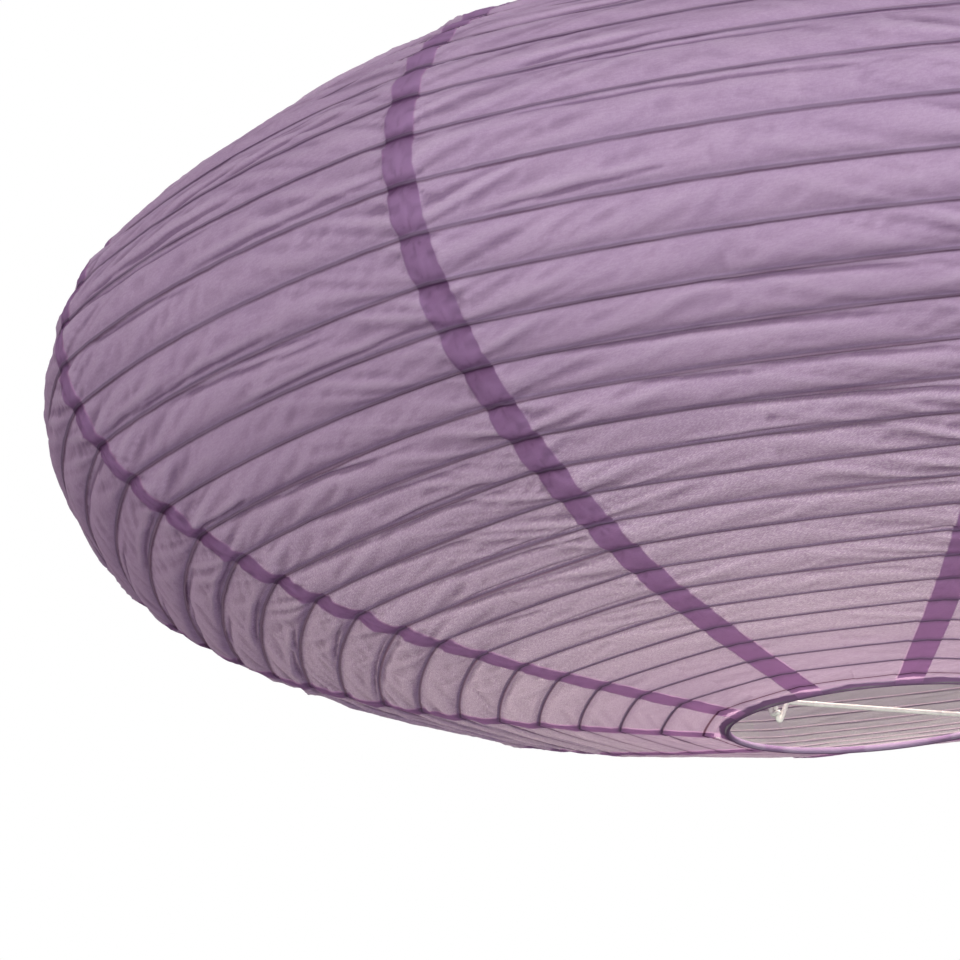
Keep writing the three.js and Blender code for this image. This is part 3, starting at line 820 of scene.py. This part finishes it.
def tinted(tree, base, *coats):
    """The base under coats of (mask, strength, tint), each as strong as its strength where its mask is 1."""
    for mask, strength, tint in coats:
        base = blend_colour(tree, times(tree, mask, strength), base, tint)
    return base


def ramp(tree, value, low, high):
    """0 at low, 1 at high, smooth between; low may be the larger."""
    node = add(tree, "MapRange", interpolation_type="SMOOTHSTEP")
    link_or_set(tree, node.inputs["Value"], value)
    node.inputs["From Min"].default_value = min(low, high)
    node.inputs["From Max"].default_value = max(low, high)
    if low > high:
        node.inputs["To Min"].default_value = 1
        node.inputs["To Max"].default_value = 0
    return node.outputs[0]


def colour(r, g, b):
    """A colour given as seen on a screen, from 0 to 255."""
    def linear(v):
        v /= 255
        return v / 12.92 if v <= 0.04045 else ((v + 0.055) / 1.055) ** 2.4
    return (linear(r), linear(g), linear(b), 1)


def attribute(tree, name):
    return add(tree, "Attribute", attribute_name=name).outputs["Fac"]


def noise_at(tree, where, scale, detail=3, roughness=0.6):
    node = add(tree, "TexNoise", {"Vector": where, "Scale": scale, "Detail": detail, "Roughness": roughness})
    return node.outputs["Fac"]


PAPER = colour(191, 166, 207)
PAPER_CLOUD = colour(181, 156, 199)
# Pale lilac of the tissue's fibres, also used for the painted highlight on ridges
PAPER_FIBRE = colour(208, 188, 223)
PAPER_DOUBLE = colour(165, 137, 181)
# Dark plum for painted shade and shadow in creases, beside and under ribs, on sagging patches and round the
# ring, and for the dark knots along overlaps
PAPER_CREASE = colour(84, 54, 94)
PAPER_INSIDE = colour(230, 236, 234)
PAPER_OVER_WIRE = colour(150, 132, 162)
PAPER_HEM_DOUBLE = colour(158, 118, 166)
LIGHT_THROUGH = colour(192, 176, 196)
LIGHT_THROUGH_THIN = colour(255, 255, 255)
LIGHT_THROUGH_THICK = colour(168, 150, 172)
LIGHT_THROUGH_DOUBLE = colour(228, 190, 230)
LIGHT_THROUGH_HEM = colour(168, 144, 170)
LIGHT_THROUGH_HEM_DOUBLE = colour(134, 98, 142)
# Painted shadow of a wire on the light that passes through the paper
LIGHT_PAST_WIRE = colour(100, 60, 72)
LIGHT_PASSED = 0.42           # share of the light that a layer of tissue lets through
GRAIN_RELIEF = 0.35           # height of the tissue's grain beside that of its fibres
HOLLOW_GAIN = 2.6             # painted shade in hollows and painted highlight on ridges, for each millimetre of depth or height


def paper_shader(tree, front, through, fibre, grain):
    """Thin tissue: part of the light is scattered back, part of it passes through."""
    height = maths(tree, "ADD", fibre, times(tree, grain, GRAIN_RELIEF))
    bump = add(tree, "Bump", {"Height": height, "Strength": 0.12, "Distance": 0.3 * MM})
    diffuse = add(tree, "BsdfDiffuse", {"Color": front, "Normal": bump.outputs[0]})
    passed = add(tree, "BsdfTranslucent", {"Color": through, "Normal": bump.outputs[0]})
    show(tree, add(tree, "MixShader", {0: LIGHT_PASSED, 1: diffuse.outputs[0], 2: passed.outputs[0]}))


def fibres(tree, where):
    """Cloudy thickness and long fibres of handmade tissue, as (cloud, fibre, grain) from 0 to 1."""
    cloud = noise_at(tree, where, 45, detail=5, roughness=0.65)
    stretched = add(tree, "Mapping", {"Vector": where, "Scale": (1, 3.5, 3.5)}).outputs[0]
    fibre = noise_at(tree, stretched, 420, detail=4, roughness=0.7)
    grain = noise_at(tree, where, 1500, detail=2, roughness=0.8)
    return cloud, fibre, grain


def rib_marks(tree, where, strip, slack, marks):
    """A rib wire's marks on the paper: its own line, a painted shadow beside it and painted shade along its
    lower edge.
    """
    # Height above the nearest rib, in millimetres, with a little wander
    wander = times(tree, scaled(tree, noise_at(tree, where, 90), 0.8, -0.4), slack)
    line_at = maths(tree, "MAXIMUM", maths(tree, "ROUND", strip), FIRST_LINE / PITCH)
    above = scaled(tree, maths(tree, "SUBTRACT", strip, line_at), PITCH / MM, wander)
    beside = maths(tree, "ABSOLUTE", above)
    half_wide = scaled(tree, slack, 0.3, 0.27)
    over_wire = ramp(tree, maths(tree, "SUBTRACT", beside, half_wide), 0.3, -0.15)
    # Painted shade along the rib's lower edge, where the paper tucks under the wire
    edge_at = maths(tree, "ABSOLUTE", maths(tree, "ADD", above, times(tree, half_wide, 1.15)))
    under_edge = times(tree, ramp(tree, edge_at, 0.6, 0.1), slack)
    marks.patchy = ramp(tree, noise_at(tree, where, 22, detail=3), 0.3, 0.62)
    under_edge = times(tree, under_edge, scaled(tree, marks.patchy, 0.55, 0.35))

    # From inside the shade the lines are fainter
    marks.outside = scaled(tree, add(tree, "NewGeometry").outputs["Backfacing"], -0.75, 1.0)
    marks.over_wire = times(tree, over_wire, marks.outside)
    marks.under_edge = times(tree, under_edge, marks.outside)
    # The line nearest the lower rim is painted darker still: a painted shadow of the wire at the rim
    marks.first_wire = times(tree, marks.over_wire, ramp(tree, strip, 0.55, 0.45))
    marks.shadow = ramp(tree, beside, 3.6, 0.4)
    marks.beside = maths(tree, "ADD", beside, wander)


def overlap_marks(tree, where, strip, slack, marks):
    """Where two layers are glued, the dark knots along them and painted shade on sagging patches."""
    marks.lap = ramp(tree, attribute(tree, "lap"), -0.3, 0.4)
    knot = times(tree, marks.lap, ramp(tree, marks.beside, 3.2, 0.8))
    marks.knot = times(tree, knot, times(tree, slack, marks.patchy))
    # Painted shade on patches of an overlap that sag below a rib
    below_rib = ramp(tree, maths(tree, "FRACT", strip), 0.45, 0.9)
    sagged = times(tree, ramp(tree, noise_at(tree, where, 55, detail=4), 0.35, 0.6), below_rib)
    marks.sagged = times(tree, times(tree, sagged, marks.lap), slack)


def paper_marks(tree, where, strip, slack):
    """Masks from 0 to 1 for what shows on the paper and through it, painted shade and highlight among them.
    """
    marks = SimpleNamespace()
    rib_marks(tree, where, strip, slack, marks)
    overlap_marks(tree, where, strip, slack, marks)
    hollow = attribute(tree, "hollow")
    # Painted shade in the paper's hollows and a painted highlight on its ridges, from their depth
    marks.crease = times(tree, hollow, HOLLOW_GAIN, clamp=True)
    marks.ridge = times(tree, hollow, -HOLLOW_GAIN, clamp=True)
    return marks


def paper_front(tree, marks, cloud, fibre):
    """The colour of the light that the paper scatters back, with painted shade, highlight and light in it.
    """
    front = blend_colour(tree, ramp(tree, cloud, 0.3, 0.7), PAPER_CLOUD, PAPER)
    inside = scaled(tree, marks.outside, -1.2, 1.2)
    seen = add(tree, "LightPath").outputs["Is Camera Ray"]
    return tinted(
        tree, front,
        (fibre, 0.08, PAPER_FIBRE),
        (marks.ridge, 0.6, PAPER_FIBRE),
        (marks.lap, scaled(tree, cloud, 0.5, 0.6), PAPER_DOUBLE),
        (marks.sagged, 0.45, PAPER_CREASE),
        (marks.shadow, 0.05, PAPER_CREASE),
        (marks.over_wire, 0.55, PAPER_OVER_WIRE),
        (marks.first_wire, 0.8, PAPER_CREASE),
        (marks.crease, 0.5, PAPER_CREASE),
        (marks.knot, 0.5, PAPER_CREASE),
        (marks.under_edge, 0.9, PAPER_CREASE),
        (inside, seen, PAPER_INSIDE),         # painted light: the inner side, seen by the camera, is painted paler and greyer, as lit by the bulb
    )


def paper_through(tree, marks, strip, slack, fibre, grain):
    """The colour of the light that passes through the paper, with painted shade and a painted glow near the
    bulb in it.
    """
    through = blend_colour(tree, ramp(tree, fibre, 0.35, 0.7), LIGHT_THROUGH_THICK, LIGHT_THROUGH)
    glowing = times(tree, ramp(tree, strip, 15, 9), ramp(tree, strip, 1, 5))    # painted pool of light: more light passes in the strips near the bulb
    sparkle = ramp(tree, grain, 0.44, 0.64)
    return tinted(
        tree, through,
        (sparkle, scaled(tree, glowing, 0.85, 0.12), LIGHT_THROUGH_THIN),
        (marks.lap, 0.85, LIGHT_THROUGH_DOUBLE),
        (marks.crease, 0.5, PAPER_CREASE),
        (marks.shadow, 0.2, PAPER_CREASE),
        (marks.over_wire, scaled(tree, slack, -0.3, 0.95), LIGHT_PAST_WIRE),
    )


def shade_paper_material():
    """The tissue, with what shows through it: rib wires, glued overlaps, creases and its own fibres, and
    painted shade, highlight and glow.
    """
    material, tree = new_material("lilac_tissue")
    where = add(tree, "UVMap", uv_map="sheet").outputs[0]
    cloud, fibre, grain = fibres(tree, where)
    strip, slack = attribute(tree, "strip"), attribute(tree, "slack")
    marks = paper_marks(tree, where, strip, slack)
    front = paper_front(tree, marks, cloud, fibre)
    through = paper_through(tree, marks, strip, slack, fibre, grain)
    paper_shader(tree, front, through, fibre, grain)
    return material


def hem_paper_material():
    """The shade's paper where it wraps the ring: two layers out to a wavy edge, with painted shade round the
    ring.
    """
    material, tree = new_material("lilac_tissue_hem")
    cloud, fibre, grain = fibres(tree, add(tree, "TexCoord").outputs["Object"])
    double = ramp(tree, attribute(tree, "double"), -0.15, 0.15)
    wire_show = attribute(tree, "wire")
    lap = ramp(tree, attribute(tree, "lap"), -0.3, 0.4)
    front = blend_colour(tree, ramp(tree, cloud, 0.3, 0.7), PAPER, PAPER_FIBRE)
    front = tinted(
        tree, front,
        (double, 0.8, PAPER_HEM_DOUBLE), (lap, 0.6, PAPER_DOUBLE), (wire_show, 0.12, PAPER_CREASE),
    )
    through = tinted(
        tree, LIGHT_THROUGH_HEM,
        (double, 0.8, LIGHT_THROUGH_HEM_DOUBLE), (lap, 0.8, LIGHT_THROUGH_DOUBLE),
        (wire_show, 0.3, LIGHT_PAST_WIRE),
    )
    paper_shader(tree, front, through, fibre, grain)
    return material


def solid_material(name, low, high, roughness, metallic=0.0, emission=None, coat=0.0):
    """A plain finish whose colour and gloss vary a little from place to place."""
    material, tree = new_material(name)
    where = add(tree, "TexCoord").outputs["Object"]
    mottle = noise_at(tree, where, 300, detail=4)
    fine = noise_at(tree, where, 2700, detail=2)
    relief = add(tree, "Bump", {"Height": fine, "Strength": 0.05, "Distance": 0.2 * MM})
    inputs = {
        "Base Color": blend_colour(tree, ramp(tree, mottle, 0.3, 0.7), colour(*low), colour(*high)),
        "Roughness": scaled(tree, mottle, 0.2, roughness - 0.1),
        "Metallic": metallic,
        "Normal": relief.outputs[0],
        "Coat Weight": coat,
    }
    if emission:
        inputs["Emission Color"], inputs["Emission Strength"] = emission
    show(tree, add(tree, "BsdfPrincipled", inputs))
    return material


def cord_material():
    """A smooth round sheath with a faint lay of its cores showing along it."""
    material, tree = new_material("white_cord_sheath")
    where = add(tree, "TexCoord").outputs["Object"]
    wave = add(tree, "TexWave", {"Vector": where, "Scale": 30.0, "Distortion": 1.5}, bands_direction="Z")
    base = blend_colour(tree, wave.outputs["Fac"], colour(226, 224, 218), colour(240, 239, 235))
    relief = add(tree, "Bump", {"Height": wave.outputs["Fac"], "Strength": 0.12, "Distance": 0.3 * MM})
    inputs = {"Base Color": base, "Roughness": 0.45, "Normal": relief.outputs[0]}
    show(tree, add(tree, "BsdfPrincipled", inputs))
    return material


BULB_GLOW = (colour(255, 222, 188), 3.6)


# The finishes, most of them under the name of the slot that they fill
FINISH = {
    "lilac_paper": shade_paper_material(),
    "paper_hem": hem_paper_material(),
    "ring_wire": solid_material("grey_ring_wire", (112, 96, 114), (132, 116, 134), 0.6),
    "rib_wire": solid_material("grey_rib_wire", (196, 188, 196), (210, 202, 210), 0.6),
    "white_wire": solid_material("coated_white_wire", (228, 228, 222), (242, 242, 238), 0.38, coat=0.3),
    "white_plastic": solid_material("white_moulding", (232, 230, 224), (243, 242, 238), 0.35),
    "cord_sheath": cord_material(),
    "nickel": solid_material("nickel_plate", (176, 172, 162), (204, 200, 192), 0.28, metallic=1.0),
    "brass": solid_material("brass_sheet", (176, 138, 70), (206, 170, 96), 0.3, metallic=1.0),
    "ceramic": solid_material("glazed_ceramic", (226, 220, 206), (240, 236, 226), 0.25, coat=0.5),
    "black_insulator": solid_material("black_glass", (22, 20, 22), (38, 34, 38), 0.2),
    "opal_diffuser": solid_material(
        "opal_diffuser", (255, 246, 232), (255, 250, 240), 0.4, emission=BULB_GLOW
    ),
    "board": solid_material("circuit_laminate", (52, 104, 66), (70, 126, 84), 0.45),
}


# ---------- Lampholder, bulb, cord and ceiling fitting ----------
# Outlines are distances from the axis and heights, in millimetres. Those of the lampholder and the bulb are
# drawn from the bridge's loop, those of the ceiling fitting from the ceiling face.

LAMP_THREAD = 3.6             # pitch of the bulb's screw thread
SKIRT_THREAD = 2.5            # pitch of the thread that the shade ring runs on


def lampholder():
    skirt = [
        (16.2, -22), (19, -22), (20, -21), (20, 1.3), (23.5, 1.3), (23.5, 4.3), (21, 6), (21, 20), (16.2, 20)
    ]
    skirt_thread = {"low": -20.5, "high": -9.5, "pitch": SKIRT_THREAD, "depth": -0.6, "wall": 19.5}
    lathe_piece(
        "skirt_threaded", "holder_skirt", "lamp", "white_plastic", skirt, radius=0.4, thread=skirt_thread
    )
    cap = [
        (18.6, 20.4), (21, 20.4), (21, 34), (19, 41), (13, 47), (7, 50), (7, 52), (3.5, 52), (3.5, 48.5),
        (11, 45.5), (17, 40), (18.6, 33),
    ]
    lathe_piece(
        "cap_ribbed", "holder_cap", "lamp", "white_plastic", cap,
        radius=1.2, segments=192, flutes=32, flute_depth=0.5, flute_from=19.6,
    )
    ring = [(20.6, -8), (24, -8), (25, -7), (25, -2.3), (24, -1.3), (20.6, -1.3)]
    lathe_piece(
        "shade_ring_ribbed", "shade_ring", "shade_ring", "white_plastic", ring,
        radius=0.5, segments=180, flutes=30, flute_depth=0.7, flute_from=23,
    )
    shell = [(14.4, -17), (15.2, -17), (15.2, 3.4), (14.4, 3.4)]
    shell_thread = {"low": -16.5, "high": 0, "pitch": LAMP_THREAD, "depth": -0.35, "wall": 14.8}
    lathe_piece("socket_sleeve", "socket_shell", "lamp", "brass", shell, radius=0.15, thread=shell_thread)
    base = [(0, 4), (15.6, 4), (15.6, 10), (0, 10)]
    lathe_piece("socket_ceramic", "socket_base", "lamp", "ceramic", base, radius=0.6)
    clamp = [(3.4, 37), (6.5, 37), (6.5, 43), (3.4, 43)]
    lathe_piece(
        "clamp_collar", "cord_clamp", "lamp", "white_plastic", clamp,
        radius=0.6, segments=72, flutes=12, flute_depth=0.4, flute_from=5.5,
    )


DOME_RADIUS, DOME_WALL = 24, 1.2
DOME_MOUTH, DOME_MOUTH_Z = 22, -44.4
DOME_STEPS = 24


def dome_outline():
    """The diffuser: a hollow ball with its top cut off where it meets the housing."""
    centre = DOME_MOUTH_Z - math.sqrt(DOME_RADIUS ** 2 - DOME_MOUTH ** 2)
    open_angle = math.asin(DOME_MOUTH / DOME_RADIUS)
    inner_radius = DOME_RADIUS - DOME_WALL
    outer = np.linspace(0, math.pi - open_angle, DOME_STEPS)
    inner = np.linspace(math.pi - open_angle * 0.98, 0, DOME_STEPS)
    return (
        [(DOME_RADIUS * math.sin(a), centre - DOME_RADIUS * math.cos(a)) for a in outer]
        + [(inner_radius * math.sin(a), centre - inner_radius * math.cos(a)) for a in inner]
    )


def bulb():
    cap = [(12.3, -21.2), (12.9, -21.2), (12.9, -4.4), (10.6, -1), (10, -1), (10, -1.8), (12.3, -4.8)]
    cap_thread = {"low": -21, "high": -4.4, "pitch": LAMP_THREAD, "depth": 0.7, "wall": 12.5}
    lathe_piece("screw_cap", "bulb_cap", "bulb", "nickel", cap, radius=0.3, thread=cap_thread)
    insulator = [(0, -1.5), (9.6, -1.5), (9.6, -0.9), (5, 0.6), (0, 0.6)]
    lathe_piece("cap_glass", "bulb_insulator", "bulb_axis", "black_insulator", insulator, radius=0.3)
    tip = [(0, 0.9), (4.4, 0.9), (3, 1.6), (0, 1.6)]
    lathe_piece("solder_tip", "bulb_tip", "bulb_axis", "nickel", tip, radius=0.3)
    body = [
        (20.6, -44), (22, -44), (21, -38), (17, -28), (14.2, -21.6), (11.9, -21.6), (11.9, -8), (10.8, -8),
        (10.8, -22.4), (15.4, -29), (19.4, -38),
    ]
    lathe_piece("bulb_housing", "bulb_body", "bulb", "white_plastic", body, radius=0.4)
    lathe_piece("opal_dome", "bulb_diffuser", "bulb", "opal_diffuser", dome_outline(), radius=0.05)


CUP_SCREW_Z = -7 * MM


def cup_screws():
    """Two thumb screws through the cup's wall: turned upright, then laid along X."""
    screw = [(0, 36), (1.9, 36), (1.9, 45.4), (4.2, 45.4), (4.6, 46), (4.6, 49), (4, 49.6), (0, 49.6)]
    points, faces = turned(screw, radius=0.2, segments=48, flutes=16, flute_depth=0.35, flute_from=4)
    x, y, z = points.T
    for side, name in ((1, "right"), (-1, "left")):
        lying = np.stack([side * z, side * y, x + CUP_SCREW_Z], -1)
        piece = make_mixed(f"thumb_screw_{name}", lying, faces[:, ::-1], FINISH["nickel"])
        tie(piece, f"cup_screw_{name}", "ceiling")


def ceiling_fitting():
    cup = [
        (5, -42), (36, -42), (41, -39), (43, -33), (45, -0.5), (43.4, -0.5), (41.4, -32.6), (39.6, -37.6),
        (35.4, -40.4), (5, -40.4),
    ]
    lathe_piece("canopy_cup", "ceiling_cup", "ceiling", "white_plastic", cup, z=0, radius=1.6)
    gland = [(3.4, -54), (5.5, -54), (8, -50), (8, -42.3), (4.6, -42.3), (4.6, -34), (3.4, -34)]
    lathe_piece(
        "gland_nut", "cup_gland", "ceiling", "white_plastic", gland, z=0,
        radius=0.5, segments=96, flutes=16, flute_depth=0.5, flute_from=6.8,
    )
    cup_screws()


CORD_RADIUS = 3 * MM


def cord_tube(path, sides=32):
    """A cord cut square at both ends."""
    turn = np.linspace(0, 2 * math.pi, sides, endpoint=False)
    ring = np.stack([np.cos(turn), np.sin(turn), turn * 0], -1)
    radii = [0.02, 0.9] + [1] * len(path) + [0.9, 0.02]
    centres = [path[0], path[0]] + list(path) + [path[-1], path[-1]]
    points = np.concatenate([c + CORD_RADIUS * share * ring for c, share in zip(centres, radii)])
    return points, grid_faces(len(centres), sides, close_columns=True)


def cords():
    """The cord and its tail in the cup, each as long as its node in the frame."""
    for node, body, steps in (("cord", "pendant", 60), ("cord_tail", "ceiling", 24)):
        low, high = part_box(node)
        z = np.linspace(low.z, high.z, steps)
        points, faces = cord_tube(np.stack([z * 0, z * 0, z], -1))
        piece = make_piece("round_" + node, points, faces, FINISH["cord_sheath"])
        tie(piece, node, body)


CAD_FINISH = {
    "ceiling_bracket": "nickel",
    "terminal_block": "white_plastic",
    "terminal_screw_right": "brass",
    "terminal_screw_left": "brass",
    "terminal_wire_right": "brass",
    "terminal_wire_left": "brass",
    "centre_contact": "brass",
    "led_board": "board",
    "driver_board": "board",
}


def dress_cad_nodes():
    """The pieces taken as they are from the frame get this script's materials."""
    for node, key in CAD_FINISH.items():
        for slot in frame["nodes"][node].material_slots:
            slot.material = FINISH[key]


# ---------- Studio ----------

CAMERA_PLACE = (0.0, -1.1139, -0.68178)
CAMERA_HEADING = 7.2138        # degrees to the left of +Y
CAMERA_RISE = 17.0239          # degrees above the level
CAMERA_ROLL = 4.2384           # degrees, right side down
LENS, SENSOR = 114.78, 36      # millimetres
FLOOR_Z = -2.4
FLOOR_HALF = 40
BULB_LIGHT_Z = -0.325
SKY_COLOUR = (1, 0.99, 0.92, 1)
SKY_LEVEL = 0.03
# Where the soft light comes from, and how strong it is: mostly from the front and a little below, some from
# the upper left, some from behind and above.
SKY_LOBES = [((0.3, -0.95, -0.1), 2.7), ((-0.8, -0.2, 0.56), 0.25), ((0, 0.9, 0.4), 0.5)]


def camera():
    data = bpy.data.cameras.new("camera")
    data.lens = LENS
    data.sensor_width = data.sensor_height = SENSOR
    data.clip_start = 0.05
    shot = bpy.data.objects.new("camera", data)
    bpy.context.scene.collection.objects.link(shot)
    heading = Matrix.Rotation(math.radians(CAMERA_HEADING), 4, "Z")
    rise = Matrix.Rotation(math.radians(90 + CAMERA_RISE), 4, "X")
    roll = Matrix.Rotation(math.radians(-CAMERA_ROLL), 4, "Z")
    shot.matrix_world = Matrix.Translation(CAMERA_PLACE) @ heading @ rise @ roll
    bpy.context.scene.camera = shot


def lamp_light():
    """The bulb's warm light, from inside its diffuser."""
    data = bpy.data.lights.new("bulb_glow", "POINT")
    data.energy = 1.4
    data.color = (1.0, 0.88, 0.76)
    data.shadow_soft_size = 0.024
    light = bpy.data.objects.new("bulb_glow", data)
    light.location = (0, 0, BULB_LIGHT_Z)
    bpy.context.scene.collection.objects.link(light)


def world():
    """White behind the lamp; the light on it comes from a faint even sky and three broad lobes."""
    sky = bpy.data.worlds.new("studio")
    bpy.context.scene.world = sky
    sky.use_nodes = True
    tree = sky.node_tree
    tree.nodes.clear()
    where = add(tree, "TexCoord").outputs["Generated"]
    level = SKY_LEVEL
    for direction, strength in SKY_LOBES:
        dot = add(tree, "VectorMath", {0: where, 1: direction}, operation="DOT_PRODUCT").outputs["Value"]
        lobe = maths(tree, "POWER", maths(tree, "MAXIMUM", dot, 0.0), 2.0)
        level = scaled(tree, lobe, strength, level)
    lit = add(tree, "Background", {"Color": SKY_COLOUR, "Strength": level})
    seen = add(tree, "Background", {"Color": (1, 1, 1, 1), "Strength": 1.0})
    ray = add(tree, "LightPath").outputs["Is Camera Ray"]
    show(tree, add(tree, "MixShader", {0: ray, 1: lit.outputs[0], 2: seen.outputs[0]}), "OutputWorld")


def floor():
    """A wide pale floor, evenly bright, that neither lights the lamp nor blocks the sky from below."""
    material, tree = new_material("pale_floor")
    mottle = noise_at(tree, add(tree, "TexCoord").outputs["Object"], 3, detail=4)
    base = blend_colour(tree, mottle, colour(222, 221, 219), colour(230, 229, 228))
    show(tree, add(tree, "Emission", {"Color": base, "Strength": 1.0}))
    corners = [(x * FLOOR_HALF, y * FLOOR_HALF, FLOOR_Z) for x, y in ((-1, -1), (1, -1), (1, 1), (-1, 1))]
    ground = make_piece("floor", corners, [[0, 1, 2, 3]], material, smooth_faces=False)
    ground.visible_diffuse = ground.visible_transmission = False


# ---------- The lamp ----------

for gore in range(GORES):
    gore_mesh(gore)
for upper in (False, True):
    hem_mesh(upper)
rib_wire_mesh()
ring_mesh("bottom_ring", LOWER_RING_Z, "shade_lower")
ring_mesh("top_ring", UPPER_RING_Z, "lamp")
lower_bar()
upper_bridge()
legs()
lampholder()
bulb()
ceiling_fitting()
cords()
dress_cad_nodes()
floor()
lamp_light()
world()
camera()
bpy.context.scene.view_settings.view_transform = "Standard"
